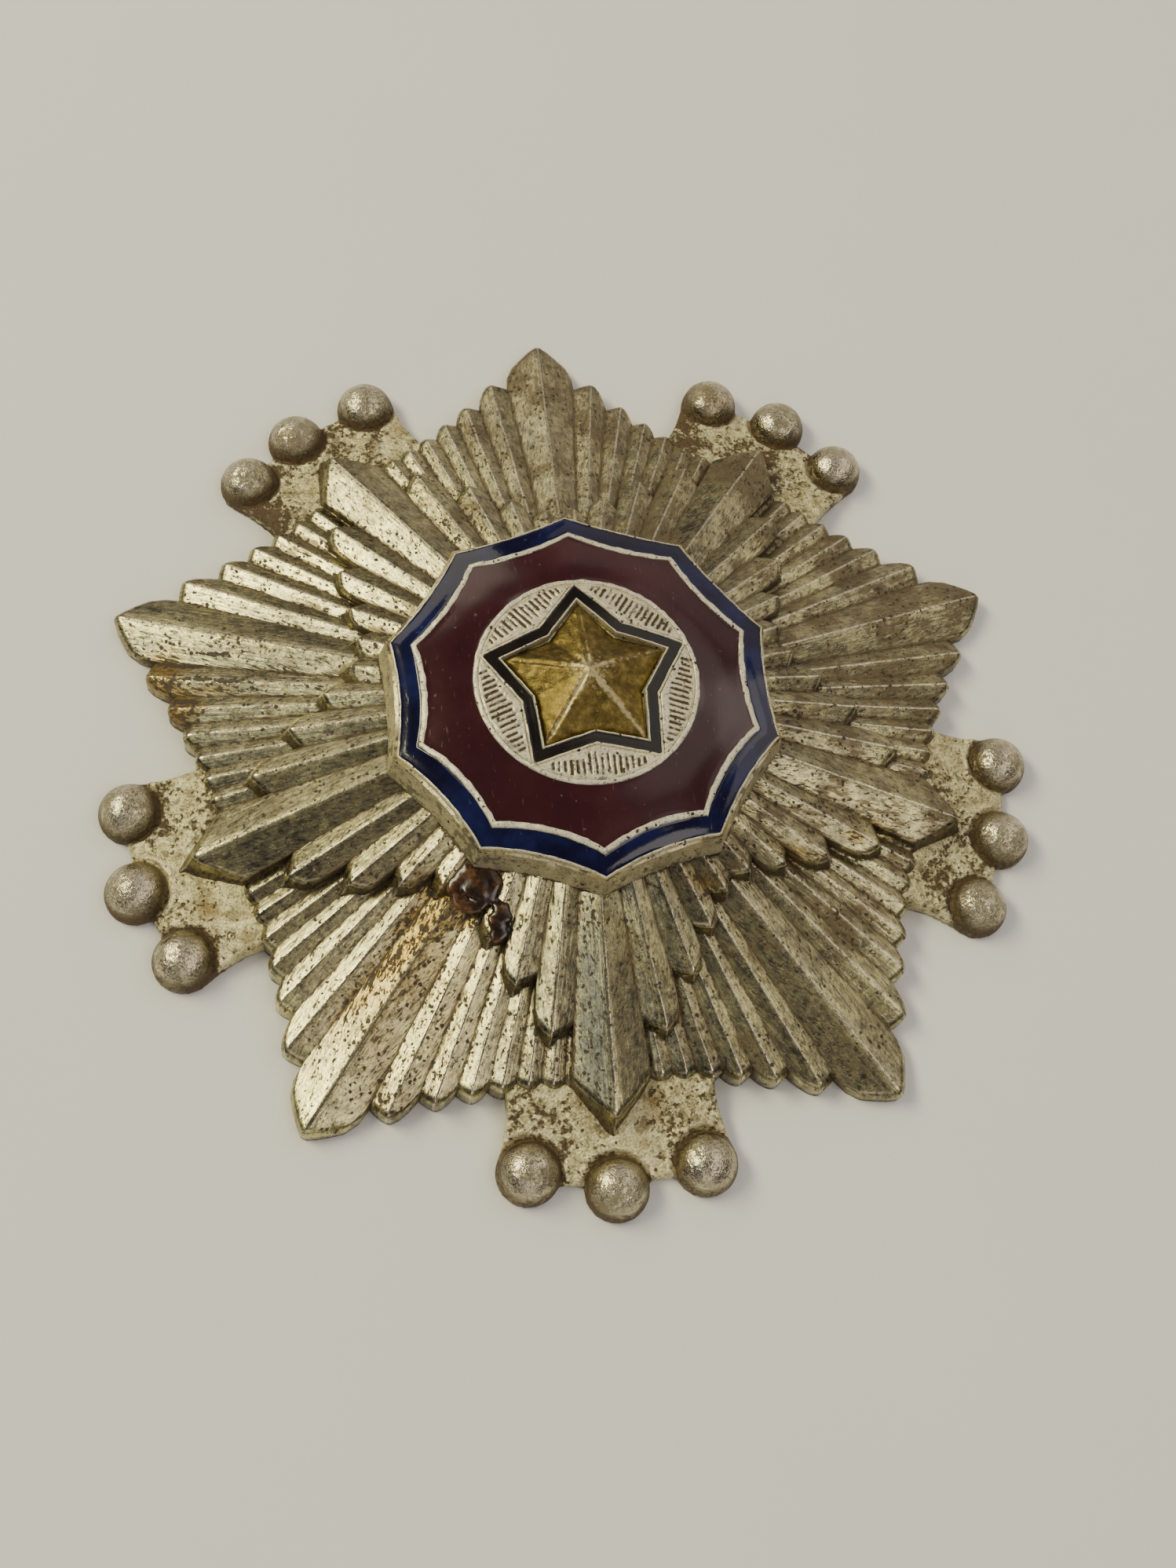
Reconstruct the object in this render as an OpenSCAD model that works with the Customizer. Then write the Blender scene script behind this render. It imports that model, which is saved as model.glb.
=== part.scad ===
// Breast star of an order, in millimetres, lying on its back.
// The origin is on the axis at the level of the back rim. +Z points out of the face,
// and +Y points along one long ray of the lower star.

/* [Lower star] */
// Radius to the tips of the five long rays
star_r = 34; // [33:0.5:35]
// Height of a long ray's ridge at its tip
star_tip_h = 1.5; // [1.3:0.1:1.8]
// Fall of a long ray's ridge for each millimetre outwards
star_fall = 0.18; // [0.17:0.005:0.19]
// Fall of a ray's two faces across the ray
face_fall = 0.4; // [0.3:0.05:0.45]

/* [Upper star] */
// Radius to the tips of the five long rays
upper_r = 28.1; // [27.5:0.1:28.5]
// Height of a long ray's ridge at its tip
upper_tip_h = 3.25; // [3:0.05:3.4]
// Fall of a long ray's ridge for each millimetre outwards
upper_fall = 0.216; // [0.205:0.005:0.225]
// How far a ray's end leans outwards for each millimetre down
wall_draft = 0.36; // [0.1:0.02:0.4]
// How far the upper star is turned past its even place, in degrees
upper_turn = 0.35; // [0.15:0.1:0.65]

/* [Ball clusters] */
// Radius of a ball
ball_r = 2.14; // [1.9:0.02:2.2]
// Height of a ball's centre above the back rim
ball_h = 0.4; // [0.2:0.05:0.8]
// Radius from the axis to the middle ball of a cluster
ball_mid_r = 32.1; // [31.8:0.1:32.5]
// Radius from the axis to the two outer balls of a cluster
ball_side_r = 31.5; // [31.2:0.1:31.8]
// Angle between neighbouring balls, seen from the axis
ball_step = 10.4; // [9.8:0.1:11]
// Height of the plate's top at the balls
plate_h = 0.8; // [0.6:0.05:1]
// Fall of the plate's top for each millimetre outwards
plate_fall = 0.2; // [0.1:0.02:0.22]

/* [Back] */
// Radius of the hollow in the back, at the rim
hollow_r = 25; // [23:0.5:25]
// Depth of the hollow in the back
hollow_h = 4.9; // [4.4:0.1:4.9]

/* [Medallion] */
// Radius to the ten points of the medallion
medallion_r = 13.7; // [13:0.1:14]
// Radius to the middle of a concave side
medallion_side_r = 12.65; // [12.4:0.05:12.7]
// Height of the flat underside
medallion_base = 5.75; // [5.6:0.05:5.9]
// Height of the dome at the axis
dome_h = 10.89; // [10.6:0.05:11.2]
// Radius of the dome's curve
dome_curve = 41.7; // [38:0.5:50]
// Width of the outer rim
rim_w = 0.16; // [0.12:0.01:0.2]
// Width of the blue band
blue_w = 1.34; // [1.2:0.02:1.5]
// Width of the silver line inside the blue band
line_w = 0.46; // [0.3:0.02:0.5]
// Outer radius of the ring
ring_r = 7.7; // [7.65:0.05:7.9]
// Width of the ring
ring_w = 0.36; // [0.3:0.02:0.4]
// How far the medallion is turned past the rays, in degrees
medallion_turn = 0.9; // [0:0.1:3]

/* [Central star] */
// Radius to the five points of its outer outline
emblem_r = 7.5; // [7.4:0.05:7.5]
// Radius to the five inner corners of its outer outline
emblem_in_r = 4.95; // [4.8:0.05:5]
// Width of the outer outline
outline_w = 0.16; // [0.12:0.02:0.2]
// Width of the black band
black_w = 0.7; // [0.6:0.02:0.76]
// Width of the inner outline
inline_w = 0.13; // [0.1:0.01:0.16]
// Clear space round the gilt star
gilt_space = 0.2; // [0.15:0.01:0.25]
// Height of the gilt star's peak
gilt_peak = 12.05; // [11.6:0.05:12.2]
// Pitch of the fine ribs in the five segments
rib_pitch = 0.41; // [0.38:0.01:0.6]
// How far the central star is turned past the rays, in degrees
emblem_turn = 2.2; // [0:0.1:3]

/* [Brooch pin] */
// Length of the pin's bar
pin_l = 33; // [28:1:34]
// Width of the bar
pin_w = 1.6; // [1.2:0.1:2]
// Thickness of the bar
pin_t = 0.9; // [0.7:0.1:1.2]
// Distance of the pin above the centre
pin_y = 9.2; // [8:0.1:10]
// Height of the pin's underside above the back rim
pin_clear = 0.5; // [0.3:0.1:0.8]

/* [Hidden] */

points = 5;
turn = 360 / points;
gap = 0.03;
silver = "#b7b09c";

// Lower star, from a long ray's middle to a cluster's: columns are the ray's outer edge in
// degrees and its tip's radius as a share of star_r
lower_rays = [
    [4.9, 1],
    [10.1, 0.891],
    [14.6, 0.832],
    [18.7, 0.797],
    [22.5, 0.774],
    [26.1, 0.762],
    [29.6, 0.759],
    [32.9, 0.759],
    [36, 0.759]
];
// Upper star, from a long ray's middle to the valley: the same columns, as a share of upper_r
upper_rays = [
    [5.8, 1],
    [13.4, 0.822],
    [21.1, 0.719],
    [28.3, 0.637],
    [36, 0.584]
];
// Ends of the long rays: columns are the share of the half width and the distance short of the tip
lower_end = [[1, 4.1], [0.95, 2.8], [0.72, 1.8], [0.38, 0.8], [0, 0]];
upper_end = [[1, 2.4], [0.5, 1.15], [0, 0]];
// How far the corners between small rays lie inside their tips
lower_notch = 0.3;
upper_notch = 0.5;
// Radius at which the rays begin, under the medallion
ray_start_r = 8;
// How far a ray laps over its neighbours, so that no two walls coincide
lap = 0.06;
// Share by which the small rays on one side are shorter, so that no four walls meet in a point
uneven = 0.002;
// A plate's outline: columns are the distance past ball_side_r and the share of its half angle
plate_edge = [[-6.3, 1.04], [-0.4, 1], [0.3, 0.75], [0.6, 0]];
// How far a plate's sides stay inside its outer balls, in degrees
plate_inset = 0.2;
// How far each cluster's three balls sit off their even places, in degrees and outwards
ball_shifts = [
    [[0.16, 0.2], [0.65, -0.12], [-0.4, 0.04]],
    [[0.59, -0.05], [0.58, 0.22], [0.62, -0.09]],
    [[0.16, -0.17], [0.24, 0.15], [0.86, 0.14]],
    [[1.15, -0.2], [1.04, -0.29], [1.32, -0.02]],
    [[0.92, 0.36], [0.79, 0.3], [0.46, 0.12]]
];
// Size of the block that cuts away all below the back rim
cut_w = 2 * star_r + 10;
cut_h = 5;
// Radius of the hollow's curve
hollow_curve = (hollow_r * hollow_r + hollow_h * hollow_h) / (2 * hollow_h);
// Depths of the cells' floors and the enamel's sink below the dome's peak
blue_floor = dome_h - 3;
red_floor = dome_h - 2.3;
black_floor = dome_h - 1.3;
gilt_floor = dome_h - 1.2;
enamel_sink = 0.06;
line_in = rim_w + blue_w;
red_in = line_in + line_w;
// Fine ribs: depth and share of the slots, half height of a segment, clear space at both ends
rib_depth = 0.45;
slot_share = 0.4;
segment_half = 3.2;
star_clear = 0.25;
ring_clear = 0.12;
// Depths of the gilt star's tips and inner corners below the dome's peak
gilt_tip_sink = 0.42;
gilt_corner_sink = 0.6;
// Round bosses at the bar's ends and the space they leave under the hollow's roof
boss_r = 1.7;
roof_clear = 0.08;
// Sides of round shapes
ball_sides = 20;
ring_sides = 120;
dome_sides = 320;

// A point at radius r and angle a, at height z
function at(r, a, z) = [r * cos(a), r * sin(a), z];

// Rise of a ridge above its two valleys for each millimetre outwards
function ridge_rise(half) = face_fall * tan(half);

// Height of a ray's surface at radius r and share u of its half width: two planes that meet
// in the ridge, with peak as their height at the axis
function ray_z(r, u, half, peak, valley_fall) =
    let (ridge_fall = valley_fall - ridge_rise(half),
        side_fall = (valley_fall - ridge_fall * cos(half)) / sin(half))
    peak - r * (ridge_fall * cos(u * half) + side_fall * sin(abs(u) * half));

// Convex solid through a list of points
module wedge(pts) {
    hull() polyhedron(pts, [for (i = [1 : len(pts) - 2]) [0, i, i + 1]]);
}

// Share of the half width that the lap reaches to at radius r
function lapped(r, half) = 1 + lap / (r * tan(half));

// The point where the line from a to b reaches its lap
function beyond(a, b, half) =
    let (share = (lapped(b[1], half) - 1) / abs(b[0] - a[0])) b + share * (b - a);

// One ray that stands on the back plane: edge is a list of [share, radius] along its end
module ray(mid, half, edge, peak, valley_fall, draft) {
    n = len(edge);
    rim = concat(
        [for (u = [-1, 0, 1]) [u * lapped(ray_start_r, half), ray_start_r]],
        [beyond(edge[1], edge[0], half)],
        [for (i = [1 : n - 2]) edge[i]],
        [beyond(edge[n - 2], edge[n - 1], half)]);
    tops = [for (p = rim) at(p[1], mid + p[0] * half,
        ray_z(p[1], p[0], half, peak, valley_fall))];
    feet = [for (i = [0 : len(rim) - 1])
        at(rim[i][1] + (i < 3 ? 0 : draft * tops[i][2]), mid + rim[i][0] * half, 0)];
    wedge(concat(tops, feet));
}

// End of a long ray, the same on both sides of its ridge
function long_edge(tip, end) = concat(
    [for (p = end) [-p[0], tip - p[1]]],
    [for (i = [len(end) - 2 : -1 : 0]) [end[i][0], tip - end[i][1]]]);

// Rounded end of a small ray, lower on the side that faces away from the long ray
function small_edge(tip, next_tip, notch) =
    let (drop = tip - next_tip + notch)
    [[-1, tip - notch], [-0.5, tip - 0.3 * notch], [0, tip], [0.5, tip - 0.25 * drop],
        [0.85, tip - 0.62 * drop], [1, tip - drop]];

// Five groups of rays, each a long ray between two runs of small ones
module ray_star(rays, r, end, notch, tip_h, fall, first, draft) {
    long_half = rays[0][0];
    peak = tip_h + fall * r;
    valley_fall = fall + ridge_rise(long_half);
    last = len(rays) - 1;
    for (i = [0 : points - 1]) rotate(first + i * turn) {
        ray(0, long_half, long_edge(r, end), peak, valley_fall, draft);
        for (k = [1 : last], side = [0, 1]) mirror([0, side, 0]) {
            half = (rays[k][0] - rays[k - 1][0]) / 2;
            side_r = r * (1 - side * uneven);
            edge = small_edge(rays[k][1] * side_r, rays[min(k + 1, last)][1] * side_r, notch);
            ray(rays[k][0] - half, half, edge, peak, valley_fall, draft);
        }
    }
}

// Plate that carries three balls, its top falling outwards
module cluster(shifts) {
    places = [for (k = [0 : 2])
        [(k - 1) * ball_step, k == 1 ? ball_mid_r : ball_side_r] + shifts[k]];
    reach = asin(ball_r / ball_side_r) - plate_inset;
    rim = [for (p = plate_edge, side = [places[0][0] - reach, places[2][0] + reach])
        [ball_side_r + p[0], p[1] * side]];
    wedge(concat(
        [for (p = rim) at(p[0], p[1], plate_h + plate_fall * (ball_side_r - p[0]))],
        [for (p = rim) at(p[0], p[1], 0)]));
    for (p = places)
        rotate(p[0]) translate([p[1], 0, ball_h]) sphere(ball_r, $fn = ball_sides);
}

// Outline with ten points and concave sides
function ten_sided(v, m, steps = 6) =
    let (half = 18, chord = v * sin(half), sag = v * cos(half) - m,
        curve = (chord * chord + sag * sag) / (2 * sag), sweep = asin(chord / curve))
    [for (k = [0 : 9], i = [0 : steps - 1])
        let (mid = 36 * k + half, a = mid + sweep * (1 - 2 * i / steps))
        (m + curve) * [cos(mid), sin(mid)] - curve * [cos(a), sin(a)]];

// The medallion's outline, drawn in from its edge by d
module medallion_outline(d) {
    polygon(ten_sided(medallion_r - d, medallion_side_r - d));
}

// Size of the central star's outline as a share, drawn in from its outer edge by d
function emblem_share(d) =
    let (edge = [emblem_in_r * cos(36) - emblem_r, emblem_in_r * sin(36)])
    1 - d * norm(edge) / (emblem_r * edge[1]);

module emblem_outline(d) {
    share = emblem_share(d);
    polygon([for (k = [0 : 2 * points - 1])
        share * (k % 2 == 0 ? emblem_r : emblem_in_r) * [cos(36 * k), sin(36 * k)]]);
}

// What lies under the medallion's dome, lowered by drop
module under_dome(drop) {
    translate([0, 0, dome_h - drop - dome_curve]) sphere(dome_curve, $fn = dome_sides);
}

// The hollow in the back, a shallow dome
module hollow() {
    steps = 8;
    rim_a = asin(hollow_r / hollow_curve);
    rotate_extrude($fn = ring_sides / 2) polygon(concat([[0, -1], [hollow_r, -1]],
        [for (i = [0 : steps]) let (a = rim_a * (1 - i / steps))
            [hollow_curve * sin(a), hollow_curve * cos(a) - hollow_curve + hollow_h]]));
}

// The struck star: two tiers of rays, five plates with balls, the hollow and the medallion's seat
module star_body() {
    color(silver) union() difference() {
        union() {
            ray_star(lower_rays, star_r, lower_end, lower_notch, star_tip_h, star_fall, 90, 0);
            ray_star(upper_rays, upper_r, upper_end, upper_notch, upper_tip_h, upper_fall,
                90 + turn / 2 + upper_turn, wall_draft);
            for (i = [0 : points - 1]) rotate(90 + (i + 0.5) * turn) cluster(ball_shifts[i]);
            cylinder(medallion_base, r = ray_start_r + 1, $fn = ring_sides / 2);
        }
        hollow();
        translate([-cut_w / 2, -cut_w / 2, -cut_h]) cube([cut_w, cut_w, cut_h]);
        translate([0, 0, medallion_base - gap]) linear_extrude(dome_h)
            rotate(90 + medallion_turn) medallion_outline(-gap);
    }
}

// Where a slot at distance y from a segment's middle begins, clear of the central star
function rib_from(y) = emblem_in_r + star_clear + y * (emblem_r * cos(36) - emblem_in_r)
    / (emblem_r * sin(36));

// Where it ends, clear of the ring
function rib_to(y) = sqrt(pow(ring_r - ring_w - ring_clear, 2) - y * y);

// The domed plaque with its four cells and the slots between the fine ribs
module medallion() {
    slot_w = slot_share * rib_pitch;
    rib_count = floor(segment_half / rib_pitch);
    color(silver) difference() {
        intersection() {
            translate([0, 0, medallion_base]) linear_extrude(dome_h)
                rotate(90 + medallion_turn) medallion_outline(0);
            under_dome(0);
        }
        translate([0, 0, blue_floor]) linear_extrude(dome_h) rotate(90 + medallion_turn)
            difference() { medallion_outline(rim_w); medallion_outline(line_in); }
        translate([0, 0, red_floor]) linear_extrude(dome_h) difference() {
            rotate(90 + medallion_turn) medallion_outline(red_in);
            circle(ring_r, $fn = ring_sides);
        }
        translate([0, 0, black_floor]) linear_extrude(dome_h) rotate(90 + emblem_turn)
            difference() { emblem_outline(outline_w); emblem_outline(outline_w + black_w); }
        translate([0, 0, gilt_floor]) linear_extrude(dome_h) rotate(90 + emblem_turn)
            emblem_outline(outline_w + black_w + inline_w);
        for (i = [0 : points - 1]) rotate(90 + emblem_turn + 36 + i * turn)
            for (k = [-rib_count : rib_count]) {
                start = rib_from(abs(k) * rib_pitch);
                translate([start, k * rib_pitch - slot_w / 2, dome_h - rib_depth])
                    cube([rib_to(abs(k) * rib_pitch) - start, slot_w, 1]);
            }
    }
}

// The band inside the rim
module blue_enamel() {
    color("#1d2550") intersection() {
        translate([0, 0, blue_floor + gap]) linear_extrude(dome_h) rotate(90 + medallion_turn)
            difference() { medallion_outline(rim_w + gap); medallion_outline(line_in - gap); }
        under_dome(enamel_sink);
    }
}

// The field between the silver line and the ring
module red_enamel() {
    color("#43201f") intersection() {
        translate([0, 0, red_floor + gap]) linear_extrude(dome_h) difference() {
            rotate(90 + medallion_turn) medallion_outline(red_in + gap);
            circle(ring_r + gap, $fn = ring_sides);
        }
        under_dome(enamel_sink);
    }
}

// The band between the central star's two outlines
module black_enamel() {
    color("#26221f") intersection() {
        translate([0, 0, black_floor + gap]) linear_extrude(dome_h) rotate(90 + emblem_turn)
            difference() {
                emblem_outline(outline_w + gap);
                emblem_outline(outline_w + black_w - gap);
            }
        under_dome(enamel_sink);
    }
}

// Faceted star: ridges run from the peak to the tips and creases to the inner corners
module gilt_star() {
    share = emblem_share(outline_w + black_w + inline_w + gilt_space);
    n = 2 * points;
    ring = [for (k = [0 : n - 1]) k % 2 == 0
        ? at(share * emblem_r, 36 * k, dome_h - gilt_tip_sink)
        : at(share * emblem_in_r, 36 * k, dome_h - gilt_corner_sink)];
    foot = [for (p = ring) [p[0], p[1], gilt_floor + gap]];
    color("#a5802f") rotate(90 + emblem_turn) polyhedron(
        concat(ring, foot, [[0, 0, gilt_peak]]),
        concat(
            [for (k = [0 : n - 1]) [2 * n, (k + 1) % n, k]],
            [for (k = [0 : n - 1]) [k, (k + 1) % n, n + (k + 1) % n, n + k]],
            [[for (k = [0 : n - 1]) n + k]]));
}

// Bar on two round bosses that reach up to the hollow's roof
module brooch_pin() {
    color("#a39c8a") translate([0, pin_y, 0]) {
        translate([-pin_l / 2, -pin_w / 2, pin_clear]) cube([pin_l, pin_w, pin_t]);
        for (side = [-1, 1]) intersection() {
            translate([side * (pin_l / 2 - boss_r), 0, pin_clear]) cylinder(hollow_h, r = boss_r);
            translate([0, -pin_y, hollow_h - hollow_curve - roof_clear])
                sphere(hollow_curve, $fn = ring_sides);
        }
    }
}

star_body();
medallion();
blue_enamel();
red_enamel();
black_enamel();
gilt_star();
brooch_pin();
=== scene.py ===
# Breast star of an order: struck silver rays in two tiers, ball clusters, domed enamel medallion
import math

import bmesh
import bpy
import numpy as np
from mathutils import Matrix, Quaternion, Vector, noise


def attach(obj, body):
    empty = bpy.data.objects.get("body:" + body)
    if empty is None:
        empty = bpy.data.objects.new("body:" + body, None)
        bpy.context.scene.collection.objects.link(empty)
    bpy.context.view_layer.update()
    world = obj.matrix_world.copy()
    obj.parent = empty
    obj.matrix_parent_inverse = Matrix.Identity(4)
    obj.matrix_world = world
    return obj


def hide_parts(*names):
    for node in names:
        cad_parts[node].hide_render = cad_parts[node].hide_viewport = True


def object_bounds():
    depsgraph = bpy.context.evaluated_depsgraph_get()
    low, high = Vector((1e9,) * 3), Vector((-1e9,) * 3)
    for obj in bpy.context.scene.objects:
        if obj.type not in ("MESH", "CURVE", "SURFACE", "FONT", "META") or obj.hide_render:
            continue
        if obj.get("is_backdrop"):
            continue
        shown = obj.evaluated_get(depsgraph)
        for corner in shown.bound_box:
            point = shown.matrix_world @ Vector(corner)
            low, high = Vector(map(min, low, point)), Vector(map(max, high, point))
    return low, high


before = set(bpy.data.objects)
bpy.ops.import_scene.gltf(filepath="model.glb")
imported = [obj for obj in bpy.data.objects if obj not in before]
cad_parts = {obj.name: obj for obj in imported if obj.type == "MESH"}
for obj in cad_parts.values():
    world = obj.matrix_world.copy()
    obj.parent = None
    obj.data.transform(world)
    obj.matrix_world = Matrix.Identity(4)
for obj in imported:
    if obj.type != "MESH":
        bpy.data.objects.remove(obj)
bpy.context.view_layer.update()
mm = 0.001  # sizes below are in millimetres, and headings and turns in degrees
print("frame loaded:", ", ".join(sorted(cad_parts)))


# Shared helpers

def hexColour(text):
    parts = [int(text[i:i + 2], 16) / 255 for i in (1, 3, 5)]
    linear = [p / 12.92 if p <= 0.04045 else ((p + 0.055) / 1.055) ** 2.4 for p in parts]
    return (*linear, 1.0)


def addNode(tree, kind, inputs=None, stops=(), **settings):
    node = tree.nodes.new(kind)
    for name, value in settings.items():
        setattr(node, name, value)
    # A ramp's stops are places and colours, and it has its first two from the start
    for i, (place, colour) in enumerate(stops):
        elements = node.color_ramp.elements
        stop = elements[i] if i < 2 else elements.new(place)
        stop.position, stop.color = place, hexColour(colour)
    for key, value in (inputs or {}).items():
        if isinstance(value, bpy.types.NodeSocket):
            tree.links.new(value, node.inputs[key])
        else:
            node.inputs[key].default_value = value
    return node


def addSteps(tree, values, steps):
    # Each row is a result's name, a Math operation and its terms, which are names or numbers.
    # The word clamped at its end keeps the result between 0 and 1
    for name, operation, *terms in steps:
        inputs = {i: values[t] if isinstance(t, str) else t
                  for i, t in enumerate(terms) if t != "clamped"}
        node = addNode(tree, "ShaderNodeMath", inputs, operation=operation,
                       use_clamp="clamped" in terms)
        values[name] = node.outputs[0]


def addObject(name, data):
    thing = bpy.data.objects.new(name, data)
    bpy.context.scene.collection.objects.link(thing)
    return thing


def meshObject(name, verts, faces, material):
    mesh = bpy.data.meshes.new(name)
    mesh.from_pydata([tuple(v) for v in verts], [], faces)
    mesh.update()
    mesh.materials.append(material)
    return addObject(name, mesh)


def setNumbers(mesh, name, numbers):
    # A named number on each point, and nought past the end of the list
    data = mesh.attributes.new(name, "FLOAT", "POINT").data
    for i, number in enumerate(numbers):
        data[i].value = number


def shadeByAngle(piece, degrees):
    mesh = piece.data
    bm = bmesh.new()
    bm.from_mesh(mesh)
    for face in bm.faces:
        face.smooth = True
    for edge in bm.edges:
        edge.smooth = len(edge.link_faces) == 2 and edge.calc_face_angle() < math.radians(degrees)
    bm.to_mesh(mesh)
    bm.free()


def newTree(name, kinds):
    # An empty Geometry Nodes tree, its named inputs, and its sizes as values for steps
    tree = bpy.data.node_groups.new(name, "GeometryNodeTree")
    for way in ("INPUT", "OUTPUT"):
        tree.interface.new_socket("Geometry", in_out=way, socket_type="NodeSocketGeometry")
    for kind, keys in kinds.items():
        for key in keys:
            tree.interface.new_socket(key, in_out="INPUT", socket_type="NodeSocket" + kind)
    start = addNode(tree, "NodeGroupInput")
    inputs = {s.name: s for s in start.outputs if s.name}
    values = {key[0].lower() + key.title().replace(" ", "")[1:]: inputs[key]
              for key in kinds["Float"]}
    return tree, inputs, values


def boxOnEachPoint(tree, inputs, values, levels, numbers):
    # A divided box on each point. Its px, py and pz say where in the box a vertex stands, and
    # the point's own numbers come along
    box = addNode(tree, "GeometryNodeMeshCube", {
        "Size": (1, 1, 1), "Vertices X": inputs["Rows"], "Vertices Y": inputs["Columns"],
        "Vertices Z": levels})
    kept = addNode(tree, "GeometryNodeStoreNamedAttribute", {
        "Geometry": box.outputs["Mesh"], "Name": "place",
        "Value": addNode(tree, "GeometryNodeInputPosition").outputs[0]},
        data_type="FLOAT_VECTOR", domain="POINT")
    instances = addNode(tree, "GeometryNodeInstanceOnPoints", {
        "Points": inputs["Geometry"], "Instance": kept.outputs[0]})
    place = addNode(tree, "GeometryNodeInputNamedAttribute", {"Name": "place"},
                    data_type="FLOAT_VECTOR")
    split = addNode(tree, "ShaderNodeSeparateXYZ", {0: place.outputs[0]})
    values["px"], values["py"], values["pz"] = split.outputs[:3]
    for name in numbers:
        values[name] = addNode(tree, "GeometryNodeInputNamedAttribute", {"Name": name},
                               data_type="FLOAT").outputs[0]
    return addNode(tree, "GeometryNodeRealizeInstances", {0: instances.outputs[0]}).outputs[0]


def solidWhereDense(tree, inputs, density):
    # A block of cells, and the skin round those whose density is above nought
    volume = addNode(tree, "GeometryNodeVolumeCube", {
        "Density": density, "Background": -1.0, "Min": inputs["Low"],
        "Max": inputs["High"], "Resolution X": inputs["Cells X"],
        "Resolution Y": inputs["Cells Y"], "Resolution Z": inputs["Cells Z"]})
    return addNode(tree, "GeometryNodeVolumeToMesh", {
        "Volume": volume.outputs[0], "Threshold": 0.0, "Adaptivity": 0.0}).outputs[0]


def blockInputs(low, high, cell):
    cells = [round(side / cell) for side in high - low]
    return {"Low": low * mm, "High": high * mm,
            "Cells X": cells[0], "Cells Y": cells[1], "Cells Z": cells[2]}


def endTree(tree, inputs, shape):
    # Every tree ends in real faces, smooth and with their material
    shape = addNode(tree, "GeometryNodeRealizeInstances", {0: shape}).outputs[0]
    shape = addNode(tree, "GeometryNodeSetShadeSmooth", {"Geometry": shape}).outputs[0]
    shape = addNode(tree, "GeometryNodeSetMaterial", {
        "Geometry": shape, "Material": inputs["Material"]}).outputs[0]
    addNode(tree, "NodeGroupOutput", {0: shape})


def runTree(name, tree, inputs, points=((0, 0, 0),), attributes=()):
    # A cloud of points, with a row of attributes each, goes into the tree. A plain mesh comes out
    cloud = bpy.data.meshes.new(name + "Points")
    cloud.from_pydata([tuple(p) for p in points], [], [])
    for key in attributes[0] if attributes else ():
        setNumbers(cloud, key, [row[key] for row in attributes])
    source = addObject(name + "Source", cloud)
    modifier = source.modifiers.new("tree", "NODES")
    modifier.node_group = tree
    sockets = {s.name: s.identifier for s in tree.interface.items_tree if s.in_out == "INPUT"}
    for key, value in inputs.items():
        modifier[sockets[key]] = value
    graph = bpy.context.evaluated_depsgraph_get()
    mesh = bpy.data.meshes.new_from_object(source.evaluated_get(graph))
    mesh.name = name
    bpy.data.objects.remove(source)
    bpy.data.meshes.remove(cloud)
    return addObject(name, mesh)


def finishPiece(piece, node):
    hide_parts(node)
    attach(piece, "root")
    print("  ", piece.name, sum(len(p.vertices) - 2 for p in piece.data.polygons), "triangles")


# Materials

def newMaterial(name):
    # An empty material, its tree, and the object's own coordinates
    material = bpy.data.materials.new(name)
    material.use_nodes = True
    tree = material.node_tree
    tree.nodes.clear()
    return material, tree, addNode(tree, "ShaderNodeTexCoord").outputs["Object"]


def rayWear(look):
    # Crests are rubbed bright, worn metal that also serves as a painted highlight line. Valleys,
    # end walls and what lies under another piece are deep
    return [
        ("crestOff", "DIVIDE", "crestFar", look["crestWidth"], "clamped"),
        ("crestRaw", "SUBTRACT", 1.0, "crestOff"),
        ("crestGrain", "MULTIPLY_ADD", "flecks", 2.6, -0.7),
        ("crestBoth", "MULTIPLY", "crestRaw", "crestGrain"),
        ("crest", "MINIMUM", "crestBoth", 1.0),
        ("valleyOff", "DIVIDE", "valleyFar", look["valleyWidth"], "clamped"),
        ("valleyRaw", "SUBTRACT", 1.0, "valleyOff"),
        ("valley", "POWER", "valleyRaw", 1.4),
        # Next to a piece lying on top: dirt and painted shade
        ("coverOff", "DIVIDE", "coverFar", look["coverWidth"], "clamped"),
        ("covered", "SUBTRACT", 1.0, "coverOff"),
        ("deepWall", "MAXIMUM", "valley", "wall"),
        ("deep", "MAXIMUM", "deepWall", "covered"),
    ]


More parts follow.
